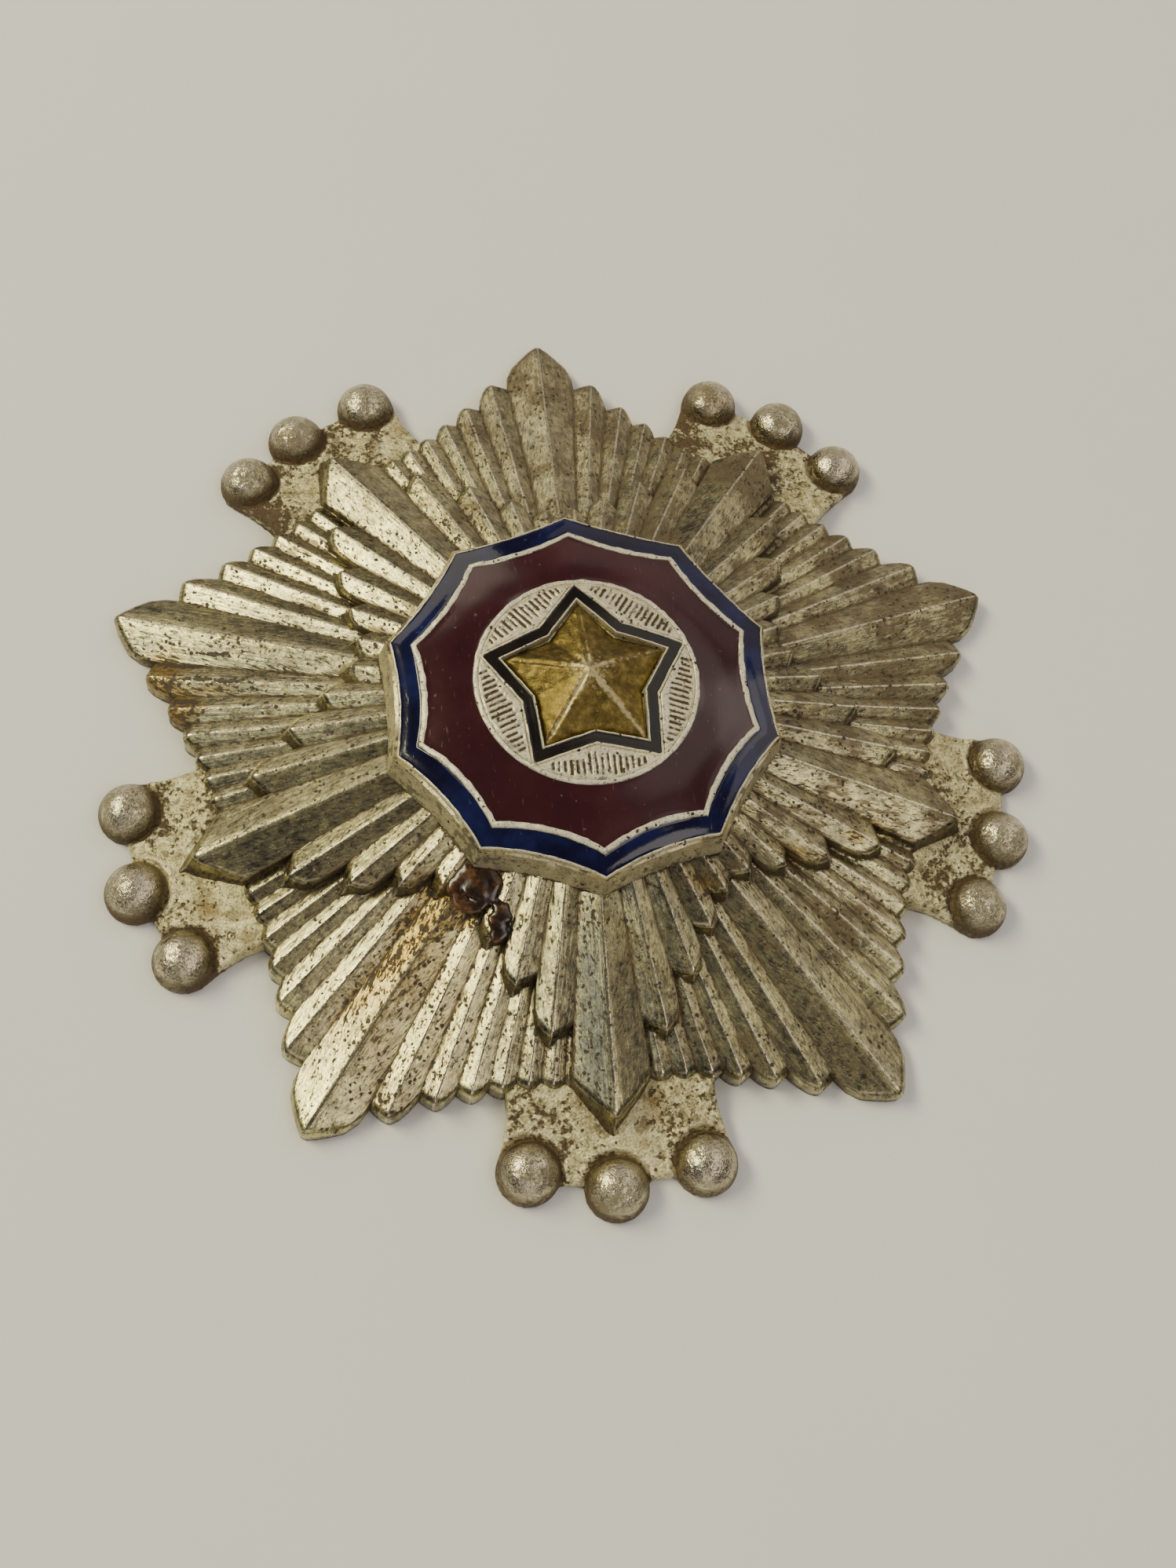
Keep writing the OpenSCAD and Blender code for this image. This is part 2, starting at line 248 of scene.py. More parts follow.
def clusterWear(look):
    return [
        ("dome", "MULTIPLY_ADD", "beyond", -4.0, -0.2, "clamped"),
        # Painted shade: dull and dark round a dome's lower part, most on the side towards the
        # middle
        ("skirtRaw", "MULTIPLY_ADD", "beyond", 1.2, 1.0),
        ("skirtLow", "MAXIMUM", "skirtRaw", 0.0),
        ("onDome", "LESS_THAN", "beyond", look["domeEnd"]),
        ("skirtOn", "MULTIPLY", "skirtLow", "onDome"),
        ("inwardOn", "MULTIPLY_ADD", "inward", 0.8, 0.75),
        ("inwardLow", "MAXIMUM", "inwardOn", 0.05),
        ("skirtSide", "MULTIPLY", "skirtOn", "inwardLow"),
        # Painted reflection of dark surroundings: a dark rim low on every dome
        ("rimAt", "MULTIPLY_ADD", "z", -800.0, 1.15),
        ("rimLow", "MAXIMUM", "rimAt", 0.0),
        ("rimDome", "MULTIPLY", "rimLow", "onDome"),
        ("skirtSum", "ADD", "skirtSide", "rimDome"),
        ("skirt", "MINIMUM", "skirtSum", 0.85),
        # A raised lip a little outside the foot, rubbed bright
        ("lipAt", "SUBTRACT", "beyond", look["lipAt"]),
        ("lip2", "MULTIPLY", "lipAt", "lipAt"),
        ("lipArg", "MULTIPLY", "lip2", -40.0),
        ("lip", "EXPONENT", "lipArg"),
        ("lipGrain", "MULTIPLY_ADD", "flecks", 2.4, -0.7),
        ("lipLow", "MAXIMUM", "lipGrain", 0.0),
        ("crest", "MULTIPLY", "lip", "lipLow"),
        # Dirt in the groove at a dome's foot and low on the plate's edge
        ("footAt", "ADD", "beyond", 0.06),
        ("foot2", "MULTIPLY", "footAt", "footAt"),
        ("footArg", "MULTIPLY", "foot2", -22.0),
        ("foot", "EXPONENT", "footArg"),
        ("lowAt", "MULTIPLY_ADD", "z", -900.0, 0.6),
        ("low", "MAXIMUM", "lowAt", 0.0),
        ("deep", "ADD", "foot", "low", "clamped"),
    ]


def backWear(look):
    return [("deep", "MULTIPLY_ADD", "z", -1000.0, look["lowDirtFrom"], "clamped")]


def medallionWear(look):
    # Rims and lines are rubbed bright. The foot of the wall is darkened as painted shade, and the
    # cut strokes hold dirt
    return [
        ("low", "MULTIPLY_ADD", "z", -1000.0, look["lowDirtFrom"], "clamped"),
        ("deep", "MAXIMUM", "low", "slot"),
        ("crestGrain", "MULTIPLY_ADD", "flecks", 2.4, -0.5),
        ("crest", "MULTIPLY", "raised", "crestGrain"),
    ]


# For each surface: the attributes that its mesh carries, and its wear
surfaces = {
    "rays": (("crestFar", "valleyFar", "wall", "coverFar"), rayWear),
    "clusters": (("beyond", "inward"), clusterWear),
    "medallion": (("raised", "slot"), medallionWear),
    "back": ((), backWear),
}


def markSteps(key, x, y, long, wide, heading, strength):
    # An oval mark with a ragged edge, added to what the key holds
    cosine, sine = math.cos(math.radians(heading)), math.sin(math.radians(heading))
    return [
        ("dx", "SUBTRACT", "x", x * mm),
        ("dy", "SUBTRACT", "y", y * mm),
        ("dxLong", "MULTIPLY", "dx", cosine / (long * mm)),
        ("along", "MULTIPLY_ADD", "dy", sine / (long * mm), "dxLong"),
        ("dxWide", "MULTIPLY", "dx", -sine / (wide * mm)),
        ("across", "MULTIPLY_ADD", "dy", cosine / (wide * mm), "dxWide"),
        ("along2", "MULTIPLY", "along", "along"),
        ("d2", "MULTIPLY_ADD", "across", "across", "along2"),
        ("share", "SQRT", "d2"),
        ("ragged", "MULTIPLY_ADD", "flecks", 1.5, "patch"),
        ("raggedOff", "SUBTRACT", "ragged", "share"),
        ("inside", "SUBTRACT", "raggedOff", 0.35),
        ("insideLow", "MAXIMUM", "inside", 0.0),
        (key, "MULTIPLY_ADD", "insideLow", strength, key),
    ]


def tarnishSteps(look):
    return [
        ("stain", "MINIMUM", "stains", 0.8),
        # bare is a painted cool grey reflection on one face, and it thins the film there
        ("bare", "MINIMUM", "bares", 0.8),
        # Patches of heavy and light tarnish
        ("patchOff", "SUBTRACT", "patch", 0.5),
        ("slantX", "MULTIPLY", "x", look["slant"][0]),
        ("slant", "MULTIPLY_ADD", "y", look["slant"][1], "slantX"),
        ("heavy", "MULTIPLY_ADD", "patchOff", look["patchPull"], "slant"),
        # A thin brown film, thick in the valleys and streaky on the faces
        ("filmDeep", "MULTIPLY_ADD", "deep", look["deepFilm"], "heavy"),
        ("filmOffReflection", "MULTIPLY_ADD", "bare", -0.5, "filmDeep"),
        ("filmStreak", "MULTIPLY_ADD", "streak", look["streakFilm"], "filmOffReflection"),
        ("filmCut", "SUBTRACT", "filmStreak", look["filmFrom"]),
        ("filmGain", "MULTIPLY", "filmCut", look["filmGain"]),
        ("filmLow", "MAXIMUM", "filmGain", 0.0),
        ("filmAny", "MINIMUM", "filmLow", look["filmMost"]),
        ("domeShare", "MULTIPLY", "dome", 0.5),
        ("domeTint", "MULTIPLY", "dome", 0.72),
        ("filmDome", "MULTIPLY", "filmAny", "domeShare"),
        ("film", "SUBTRACT", "filmAny", "filmDome"),
        # Black and brown pits
        ("pitDeep", "MULTIPLY_ADD", "deep", look["deepPits"], "pits"),
        ("pitHeavy", "MULTIPLY_ADD", "heavy", look["heavyPits"], "pitDeep"),
        ("pitStain", "MULTIPLY_ADD", "stain", look["stainPits"], "pitHeavy"),
        ("pitDash", "MULTIPLY_ADD", "dashes", 0.3, "pitStain"),
        ("pitCut", "SUBTRACT", "pitDash", look["pitFrom"]),
        ("pitGain", "MULTIPLY", "pitCut", 11.0),
        ("dotPower", "POWER", "dotChance", 3.0),
        ("dotHeavy", "MULTIPLY_ADD", "patchOff", look["dotPatches"], look["dotSize"]),
        ("dotDeep", "MULTIPLY_ADD", "deep", 0.12, "dotHeavy"),
        ("dotStain", "MULTIPLY_ADD", "stain", 0.3, "dotDeep"),
        ("dotRadius", "MULTIPLY", "dotPower", "dotStain"),
        ("dotUneven", "MULTIPLY_ADD", "flecks", 0.5, "dotFar"),
        ("dotEdge", "SUBTRACT", "dotUneven", 0.25),
        ("dotCut", "SUBTRACT", "dotRadius", "dotEdge"),
        ("dotGain", "MULTIPLY", "dotCut", 9.0),
        ("pitAny", "MAXIMUM", "pitGain", "dotGain", "clamped"),
        ("pitDome", "MULTIPLY", "pitAny", "domeShare"),
        ("pit", "SUBTRACT", "pitAny", "pitDome"),
        ("speckCut", "SUBTRACT", "flecks", look["speckFrom"]),
        ("speckGain", "MULTIPLY", "speckCut", 9.0),
        ("speckLow", "MAXIMUM", "speckGain", 0.0),
        ("speck", "MINIMUM", "speckLow", 0.6),
        # Where the clean metal's warm toning is lighter and darker
        ("tonePart", "MULTIPLY", "tone", 0.25),
        ("toneMottle", "MULTIPLY_ADD", "mottle", 0.25, "tonePart"),
        ("toneStreak", "MULTIPLY_ADD", "streak", 0.2, "toneMottle"),
        ("toning", "MULTIPLY_ADD", "flecks", 0.3, "toneStreak"),
    ]


def surfaceSteps(look):
    return [
        ("metalDome", "MULTIPLY_ADD", "dome", 1 - look["metal"], look["metal"]),
        ("metalPit", "MULTIPLY_ADD", "pit", -0.85, "metalDome"),
        ("metalFilm", "MULTIPLY_ADD", "film", -0.45, "metalPit"),
        ("metalStain", "MULTIPLY_ADD", "stain", -0.3, "metalFilm"),
        ("metal", "MAXIMUM", "metalStain", 0.0),
        ("roughPit", "MULTIPLY_ADD", "pit", 0.25, look["roughness"]),
        ("roughFilm", "MULTIPLY_ADD", "film", 0.16, "roughPit"),
        ("roughGrain", "MULTIPLY_ADD", "flecks", look["roughSpread"], "roughFilm"),
        ("roughMost", "SUBTRACT", "roughGrain", look["roughSpread"] / 2),
        ("roughWorn", "MULTIPLY_ADD", "crest", look["crestRough"], "roughMost"),
        ("roughness", "MULTIPLY_ADD", "dome", -0.14, "roughWorn"),
        ("bumpPit", "MULTIPLY", "pit", -look["pitBump"]),
        ("bumpStreak", "MULTIPLY_ADD", "streak", look["streakBump"], "bumpPit"),
        ("bumpLines", "MULTIPLY_ADD", "lines", look["lineBump"], "bumpStreak"),
        ("bumpMottle", "MULTIPLY_ADD", "mottle", look["mottleBump"], "bumpLines"),
        ("bumpFlecks", "MULTIPLY_ADD", "flecks", look["fleckBump"], "bumpMottle"),
        ("bumpShare", "MULTIPLY_ADD", "dome", -0.55, 1.0),
        ("bumpHeight", "MULTIPLY", "bumpFlecks", "bumpShare"),
    ]


def silverMaterial(name, look):
    # Struck silver, tarnished: satin metal with warm toning, and dull dark dirt in what lies deep
    material, tree, coords = newMaterial(name)
    values = {"none": addNode(tree, "ShaderNodeMath", {0: 0.0, 1: 0.0}).outputs[0]}
    split = addNode(tree, "ShaderNodeSeparateXYZ", {0: coords})
    values["x"], values["y"], values["z"] = split.outputs[:3]
    attributes, wear = surfaces[look["surface"]]
    for key in attributes:
        values[key] = addNode(tree, "ShaderNodeAttribute", attribute_name=key).outputs["Fac"]
    # Patterns on the rays run along each ray, so they read its own lane
    onRays = look["surface"] == "rays"
    lane = addNode(tree, "ShaderNodeAttribute", attribute_name="rayPlace").outputs["Vector"] \
        if onRays else coords
    # Round pits, one to a cell, of very unequal size
    ragged = addNode(tree, "ShaderNodeTexNoise", {
        "Vector": coords, "Scale": 4500.0, "Detail": 2.0}).outputs["Color"]
    loose = addNode(tree, "ShaderNodeVectorMath", {
        0: ragged, 1: (0.25 * mm,) * 3, 2: coords}, operation="MULTIPLY_ADD").outputs[0]
    cells = addNode(tree, "ShaderNodeTexVoronoi", {
        "Vector": loose, "Scale": 1000 / look["dotCell"]})
    chance = addNode(tree, "ShaderNodeSeparateXYZ", {0: cells.outputs["Color"]})
    values["dotFar"], values["dotChance"] = cells.outputs["Distance"], chance.outputs[0]
    # Patterns: size across and along in millimetres, detail
    for key, wide, long, detail in look["patterns"]:
        turned = addNode(tree, "ShaderNodeMapping", {
            0: coords if key in ("patch", "tone", "mottle") else lane,
            "Scale": (1000 / wide, 1000 / long, 1.0 if onRays else 1000 / wide)})
        values[key] = addNode(tree, "ShaderNodeTexNoise", {
            "Vector": turned.outputs[0], "Scale": 1.0, "Detail": detail,
            "Roughness": 0.72 if key == "pits" else 0.6}).outputs["Fac"]
    addSteps(tree, values, wear(look))
    for key in ("crest", "dome", "slot", "skirt"):
        values.setdefault(key, values["none"])
    for key in ("stains", "dashes", "bares"):
        values[key] = values["none"]
        for row in look[key]:
            addSteps(tree, values, markSteps(key, *row))
    addSteps(tree, values, tarnishSteps(look) + surfaceSteps(look))
    colour = addNode(tree, "ShaderNodeValToRGB", {0: values["toning"]},
                     stops=look["toning"]).outputs[0]
    # Tints cover the clean metal one after another, each by its own share
    for share, tint in (
            # The bare tint is a painted cool grey reflection
            # The dome shade tint is painted shade and a painted dark reflection round the domes
            ("domeTint", "#cac2af"), ("skirt", "#3a3025"), ("bare", "#65665e"),
            # The crest tint is worn metal and a painted highlight
            ("film", look["filmTint"]), ("stain", look["stainTint"]), ("crest", look["crestTint"]),
            ("speck", look["filmTint"]), ("pit", look["pitTint"]), ("slot", "#57492f")):
        colour = addNode(tree, "ShaderNodeMix", {
            0: values[share], 6: colour, 7: hexColour(tint)}, data_type="RGBA").outputs[2]
    bump = addNode(tree, "ShaderNodeBump", {
        "Height": values["bumpHeight"], "Strength": look["bumpStrength"], "Distance": 0.1 * mm})
    shader = addNode(tree, "ShaderNodeBsdfPrincipled", {
        "Base Color": colour, "Metallic": values["metal"], "Roughness": values["roughness"],
        "Normal": bump.outputs[0]})
    addNode(tree, "ShaderNodeOutputMaterial", {0: shader.outputs[0]})
    return material


rayLook = {
    "surface": "rays",
    "metal": 1.0,
    "patterns": [("patch", 4.5, 4.5, 5), ("tone", 8.0, 8.0, 3), ("mottle", 0.8, 0.8, 5),
                 ("lines", 0.17, 5.0, 2), ("streak", 0.28, 1.1, 5), ("pits", 0.22, 0.5, 6),
                 ("flecks", 0.24, 0.34, 4)],
    "toning": [(0.42, "#6c6857"), (0.58, "#d2cb96"), (0.5, "#a39c7c")],
    "crestWidth": 0.1,
    "crestTint": "#f2ead0",
    "crestRough": -0.1,
    "valleyWidth": 0.28,
    "coverWidth": 0.2,
    "slant": (6.0, 4.5),  # more tarnish towards the upper right, per metre
    "patchPull": 1.9,
    "deepFilm": 0.72,
    "streakFilm": 1.6,
    "filmFrom": 0.87,
    "filmGain": 3.6,
    "filmMost": 0.78,
    "filmTint": "#605139",
    "deepPits": 0.1,
    "heavyPits": 0.02,
    "stainPits": 0.1,
    "dotCell": 0.32,
    "dotSize": 0.46,
    "dotPatches": 1.6,
    "pitFrom": 0.57,
    "pitTint": "#3b2f22",
    # Rust and brown stains, black dashes, and a face with a painted cool grey reflection: place,
    # half length, half width, heading, strength
    "stains": [(-29.0, 5.6, 2.6, 2.4, 168, 1.5), (-27.6, 3.0, 2.4, 2.0, 173, 1.5),
               (-13.0, -17.2, 8.5, 3.0, 227, 0.4), (-13.0, -20.0, 11.0, 7.0, 235, 0.22),
               (-11.0, -14.6, 3.5, 1.2, 232, 0.7),
               (-27.8, 1.2, 1.3, 0.9, 178, 0.8), (-25.2, 4.0, 2.4, 0.6, 171, 0.7),
               (-10.6, -12.6, 2.1, 1.0, -15, 1.5), (-8.4, -14.0, 2.0, 1.7, 60, 1.2),
               (-6.9, -15.4, 1.3, 1.1, 60, 1.1), (-14.1, -17.1, 5.6, 1.2, 224, 0.9),
               (-12.4, -14.2, 2.2, 0.7, 222, 0.8), (20.5, -9.1, 1.6, 0.8, -25, 0.9),
               (18.6, -9.9, 1.3, 0.9, -30, 1.0), (14.0, -11.0, 2.6, 0.7, -18, 0.9),
               (7.3, -13.2, 2.2, 1.2, -15, 0.9)],
    "dashes": [(-26.9, 6.1, 2.2, 0.3, 169, 1.2), (-26.4, 4.9, 2.2, 0.28, 170, 1.1),
               (-27.4, 3.3, 1.5, 0.28, 172, 1.0), (-25.3, 6.75, 2.0, 0.24, 168.5, 1.2),
               (-24.4, 4.45, 2.6, 0.24, 170.2, 1.2),
               (-15.2, -18.0, 1.2, 0.18, 224, 0.8), (-28.4, 4.6, 0.8, 0.3, 170, 0.7)],
    "bares": [(-0.95, -21.5, 9.5, 1.15, 90, 1.6)],
    "stainTint": "#8b6e2c",
    "roughness": 0.27,
    "roughSpread": 0.2,
    "pitBump": 1.0,
    "streakBump": 0.35,
    "lineBump": 0.35,
    "mottleBump": 0.45,
    "fleckBump": 0.22,
    "speckFrom": 0.56,
    "bumpStrength": 0.55,
}
raySilver = silverMaterial("struckSilverRays", rayLook)
clusterSilver = silverMaterial("struckSilverClusters", {
    **rayLook, "surface": "clusters", "metal": 0.42, "slant": (0.5, 1.0), "crestTint": "#fff4cc",
    "patterns": [("patch", 5.0, 5.0, 4), ("tone", 5.0, 5.0, 4), ("mottle", 1.2, 1.2, 5),
                 ("lines", 0.4, 0.4, 2), ("streak", 1.0, 1.0, 5), ("pits", 0.42, 0.42, 6),
                 ("flecks", 0.22, 0.22, 3)],
    "toning": [(0.43, "#9d9069"), (0.57, "#fffacb"), (0.5, "#e8deac")],
    "deepFilm": 0.95, "streakFilm": 2.4, "filmFrom": 1.26, "filmTint": "#66542f",
    "pitFrom": 0.545, "pitTint": "#59442a", "heavyPits": 0.5, "dotCell": 0.36,
    "domeEnd": 0.05, "lipAt": 0.42,  # millimetres past a dome's foot
    "roughness": 0.32, "bumpStrength": 0.9,
    "stains": [(13.5, 28.0, 2.0, 2.0, 0, 0.5), (-26.0, -11.8, 1.8, 1.8, 0, 0.9),
               (3.0, -27.0, 1.6, 1.6, 0, 0.8)],
    "bares": [],
    "pitBump": 1.8, "fleckBump": 1.6, "mottleBump": 2.4})
medallionSilver = silverMaterial("castSilverMedallion", {
    **rayLook, "surface": "medallion", "metal": 0.72, "lowDirtFrom": 6.5, "crestTint": "#f3eedd",
    "crestRough": 0.14,
    "patterns": [("patch", 6.0, 6.0, 4), ("tone", 5.0, 5.0, 4), ("mottle", 1.0, 1.0, 4),
                 ("lines", 0.3, 0.3, 2), ("streak", 0.9, 0.9, 4), ("pits", 0.3, 0.3, 4),
                 ("flecks", 0.22, 0.22, 3)],
    "toning": [(0.4, "#b3ab90"), (0.6, "#faf2c8"), (0.5, "#e2d8b2")],
    "slant": (0.0, 0.0), "deepFilm": 1.3, "deepPits": 0.62, "filmFrom": 1.42, "pitFrom": 0.68,
    "filmTint": "#3c3529", "streakFilm": 2.4, "stains": [], "dashes": [], "bares": [],
    "dotSize": 0.45, "dotPatches": 0.0, "roughness": 0.46})
backSilver = silverMaterial("struckSilverBack", {
    **rayLook, "surface": "back", "lowDirtFrom": 0.0,
    "patterns": [("patch", 8.0, 8.0, 4), ("tone", 9.0, 9.0, 3), ("mottle", 2.0, 2.0, 3),
                 ("lines", 0.4, 0.4, 2), ("streak", 1.2, 1.2, 4), ("pits", 0.4, 0.4, 4),
                 ("flecks", 0.2, 0.2, 3)],
    "slant": (0.0, 0.0), "pitFrom": 0.68, "stains": [], "dashes": [], "bares": [], "dotSize": 0.25,
    "roughness": 0.48})


def enamelMaterial(name, look):
    # Fired glass enamel: deep colour under a glossy skin with faint clouds and fine scratches
    material, tree, coords = newMaterial(name)
    clouds = addNode(tree, "ShaderNodeTexNoise", {
        "Vector": coords, "Scale": look["cloudScale"], "Detail": 4.0, "Roughness": 0.6})
    clean = addNode(tree, "ShaderNodeValToRGB", {0: clouds.outputs["Fac"]},
                    stops=look["colours"]).outputs[0]
    # Fine scratches, 0.1 mm wide and 0.5 mm long, drawn coarse enough to show
    turned = addNode(tree, "ShaderNodeMapping", {
        0: coords, "Rotation": (0, 0, 0.9), "Scale": (5000, 900, 900)})
    scratch = addNode(tree, "ShaderNodeTexNoise", {
        "Vector": turned.outputs[0], "Scale": 1.0, "Detail": 2.0, "Roughness": 0.5})
    specks = addNode(tree, "ShaderNodeTexNoise", {
        "Vector": coords, "Scale": 2600.0, "Detail": 2.0, "Roughness": 0.5})
    values = {"scratch": scratch.outputs["Fac"], "speck": specks.outputs["Fac"],
              "cloud": clouds.outputs["Fac"]}
    addSteps(tree, values, [
        ("fineRaw", "SUBTRACT", "scratch", look["scratchFrom"]),
        ("fine", "MULTIPLY", "fineRaw", 4.0, "clamped"),
        ("dustRaw", "SUBTRACT", "speck", 0.7),
        ("dust", "MULTIPLY", "dustRaw", 12.0, "clamped"),
        ("marksSum", "ADD", "fine", "dust"),
        ("marks", "MULTIPLY", "marksSum", look["markShare"]),
        ("roughMarks", "MULTIPLY", "marks", 0.5),
        ("roughBase", "MULTIPLY_ADD", "cloud", look["roughSpread"], "roughMarks"),
        ("roughness", "ADD", "roughBase", look["roughness"]),
        ("height", "MULTIPLY_ADD", "fine", -0.3, "cloud"),
    ])
    colour = addNode(tree, "ShaderNodeMix", {
        0: values["marks"], 6: clean, 7: hexColour(look["markTint"])},
        data_type="RGBA").outputs[2]
    bump = addNode(tree, "ShaderNodeBump", {
        "Height": values["height"], "Strength": 0.35, "Distance": 0.05 * mm})
    shader = addNode(tree, "ShaderNodeBsdfPrincipled", {
        "Base Color": colour, "Roughness": values["roughness"], "IOR": 1.45,
        "Coat Weight": 0.08, "Coat Roughness": 0.16, "Normal": bump.outputs[0]})
    addNode(tree, "ShaderNodeOutputMaterial", {0: shader.outputs[0]})
    return material


blueGlass = enamelMaterial("firedEnamelBlue", {
    "cloudScale": 320, "colours": [(0.35, "#0c0c26"), (0.68, "#191f50"), (0.5, "#121437")],
    "scratchFrom": 0.68, "markShare": 0.35, "markTint": "#5a6688", "roughSpread": 0.1,
    "roughness": 0.03})
redGlass = enamelMaterial("firedEnamelRed", {
    "cloudScale": 150, "colours": [(0.3, "#30151a"), (0.7, "#422025"), (0.5, "#38191e")],
    "scratchFrom": 0.66, "markShare": 0.3, "markTint": "#8a7672", "roughSpread": 0.14,
    "roughness": 0.09})
blackGlass = enamelMaterial("firedEnamelBlack", {
    "cloudScale": 400, "colours": [(0.35, "#16120f"), (0.65, "#241e18"), (0.5, "#1b1613")],
    "scratchFrom": 0.7, "markShare": 0.3, "markTint": "#6d6253", "roughSpread": 0.2,
    "roughness": 0.1})


def giltMaterial():
    # Fire gilding, old and worn: gold film gone brown in patches, silver bare along the ridges
    material, tree, coords = newMaterial("wornGilding")
    values = {}
    for key, scale, detail in (("cloud", 1500, 5), ("fine", 3200, 4), ("grain", 9000, 3)):
        values[key] = addNode(tree, "ShaderNodeTexNoise", {
            "Vector": coords, "Scale": scale, "Detail": detail, "Roughness": 0.65}).outputs["Fac"]
    values["ridge"] = addNode(tree, "ShaderNodeAttribute", attribute_name="ridge").outputs["Fac"]
    addSteps(tree, values, [
        ("wornRaw", "MULTIPLY_ADD", "fine", 2.2, "ridge"),
        ("wornCut", "SUBTRACT", "wornRaw", 1.45),
        ("worn", "MULTIPLY", "wornCut", 2.2, "clamped"),
        ("pitRaw", "SUBTRACT", "fine", 0.63),
        ("pitGain", "MULTIPLY", "pitRaw", 8.0),
        ("pitLow", "MAXIMUM", "pitGain", 0.0),
        ("pitCap", "MINIMUM", "pitLow", 0.7),
        ("wornOff", "SUBTRACT", 1.0, "worn"),
        ("pit", "MULTIPLY", "pitCap", "wornOff"),
        ("metal", "MULTIPLY_ADD", "pit", -0.6, 1.0),
        ("rough", "MULTIPLY_ADD", "grain", 0.25, 0.2),
        ("heightPit", "MULTIPLY_ADD", "pit", -0.5, "grain"),
        ("height", "MULTIPLY_ADD", "fine", 0.6, "heightPit"),
    ])
    colour = addNode(tree, "ShaderNodeValToRGB", {0: values["cloud"]}, stops=[
        (0.3, "#4f4427"), (0.7, "#96824a"), (0.5, "#6f6036")]).outputs[0]
    for share, tint in (("pit", "#2e2210"), ("worn", "#bfb186")):
        colour = addNode(tree, "ShaderNodeMix", {
            0: values[share], 6: colour, 7: hexColour(tint)}, data_type="RGBA").outputs[2]
    bump = addNode(tree, "ShaderNodeBump", {
        "Height": values["height"], "Strength": 0.5, "Distance": 0.08 * mm})
    shader = addNode(tree, "ShaderNodeBsdfPrincipled", {
        "Base Color": colour, "Metallic": values["metal"], "Roughness": values["rough"],
        "Normal": bump.outputs[0]})
    addNode(tree, "ShaderNodeOutputMaterial", {0: shader.outputs[0]})
    return material


gilding = giltMaterial()
print("materials made")


# Polar shells: every row is a closed line round the axis, given by its radius and height

def polarShell(name, angles, rows, material, ring=False):
    # rows go from the outside of the underside up and over; a ring joins the last to the first
    count = len(angles)
    verts = [(r * math.cos(a) * mm, r * math.sin(a) * mm, z * mm)
             for row in rows for a, (r, z) in zip(angles, row)]
    faces = []
    pairs = [(i, i + 1) for i in range(len(rows) - 1)]
    if ring:
        pairs.append((len(rows) - 1, 0))
    for low, high in pairs:
        for i in range(count):
            j = (i + 1) % count
            faces.append([low * count + i, low * count + j, high * count + j, high * count + i])
    if not ring:
        for row, flip in ((0, True), (len(rows) - 1, False)):
            pole = len(verts)
            verts.append((0, 0, sum(z for _, z in rows[row]) / count * mm))
            for i in range(count):
                a, b = row * count + i, row * count + (i + 1) % count
                faces.append([pole, b, a] if flip else [pole, a, b])
    return meshObject(name, verts, faces, material)


medallionSizes = {
    "radius": 13.7, "sideRadius": 12.65, "dome": 10.89, "domeCurve": 41.7,
    "rim": 0.16, "blue": 1.34, "line": 0.46, "ringRadius": 7.7, "ringWidth": 0.36, "turn": 0.9,
    "cellDepth": 0.6, "wear": 0.07, "wallWear": 0.06,
    # The wall leans out more on the side with this heading, by this share
    "leanTo": 160, "lean": 0.7,
    # The side wall from its foot up: height, and how far it stands out past the rim
    "wall": [(5.75, 0.46), (6.3, 0.45), (6.7, 0.38), (7.4, 0.26), (8.4, 0.14)],
}
emblemSizes = {
    "radius": 7.5, "innerRadius": 4.95, "outline": 0.16, "black": 0.7, "inline": 0.13,
    "giltSpace": 0.2, "turn": 2.2, "peak": 12.05, "tipSink": 0.42, "cornerSink": 0.6,
    "recess": 0.75, "fieldSink": 0.3,
}
lineIn = medallionSizes["rim"] + medallionSizes["blue"]
redIn = lineIn + medallionSizes["line"]


def domeHeight(r):
    curve = medallionSizes["domeCurve"]
    return medallionSizes["dome"] - curve + math.sqrt(curve * curve - r * r)


def tenSided(angle, inset):
    # Radius of the ten-sided outline with concave sides
    v, m = medallionSizes["radius"] - inset, medallionSizes["sideRadius"] - inset
    half = math.radians(18)
    chord, sag = v * math.sin(half), v * math.cos(half) - m
    curve = (chord * chord + sag * sag) / (2 * sag)
    turned = angle - math.radians(90 + medallionSizes["turn"])
    off = (turned + math.radians(72 * 5)) % math.radians(36) - half
    far = m + curve
    return far * math.cos(off) - math.sqrt(curve * curve - (far * math.sin(off)) ** 2)


def starLine(angle, inset):
    # Radius of the central star's outline, drawn in by inset
    tip, corner = emblemSizes["radius"], emblemSizes["innerRadius"]
    edgeX, edgeY = corner * math.cos(math.radians(36)) - tip, corner * math.sin(math.radians(36))
    size = 1 - inset * math.hypot(edgeX, edgeY) / (tip * edgeY)
    turned = angle - math.radians(90 + emblemSizes["turn"])
    off = abs((turned + math.radians(36 + 720)) % math.radians(72) - math.radians(36))
    return size * tip * corner * math.sin(math.radians(36)) \
        / (tip * math.sin(off) + corner * math.sin(math.radians(36) - off))


def shellAngles(step=0.5):
    # Even angles, with the corners of both outlines exactly on one of them
    corners = [90 + medallionSizes["turn"] + 36 * k for k in range(10)]
    corners += [90 + emblemSizes["turn"] + 36 * k for k in range(10)]
    corners = sorted(c % 360 for c in corners)
    angles = []
    for a, b in zip(corners, corners[1:] + [corners[0] + 360]):
        n = max(1, round((b - a) / step))
        angles += [math.radians(a + (b - a) * i / n) for i in range(n)]
    return angles


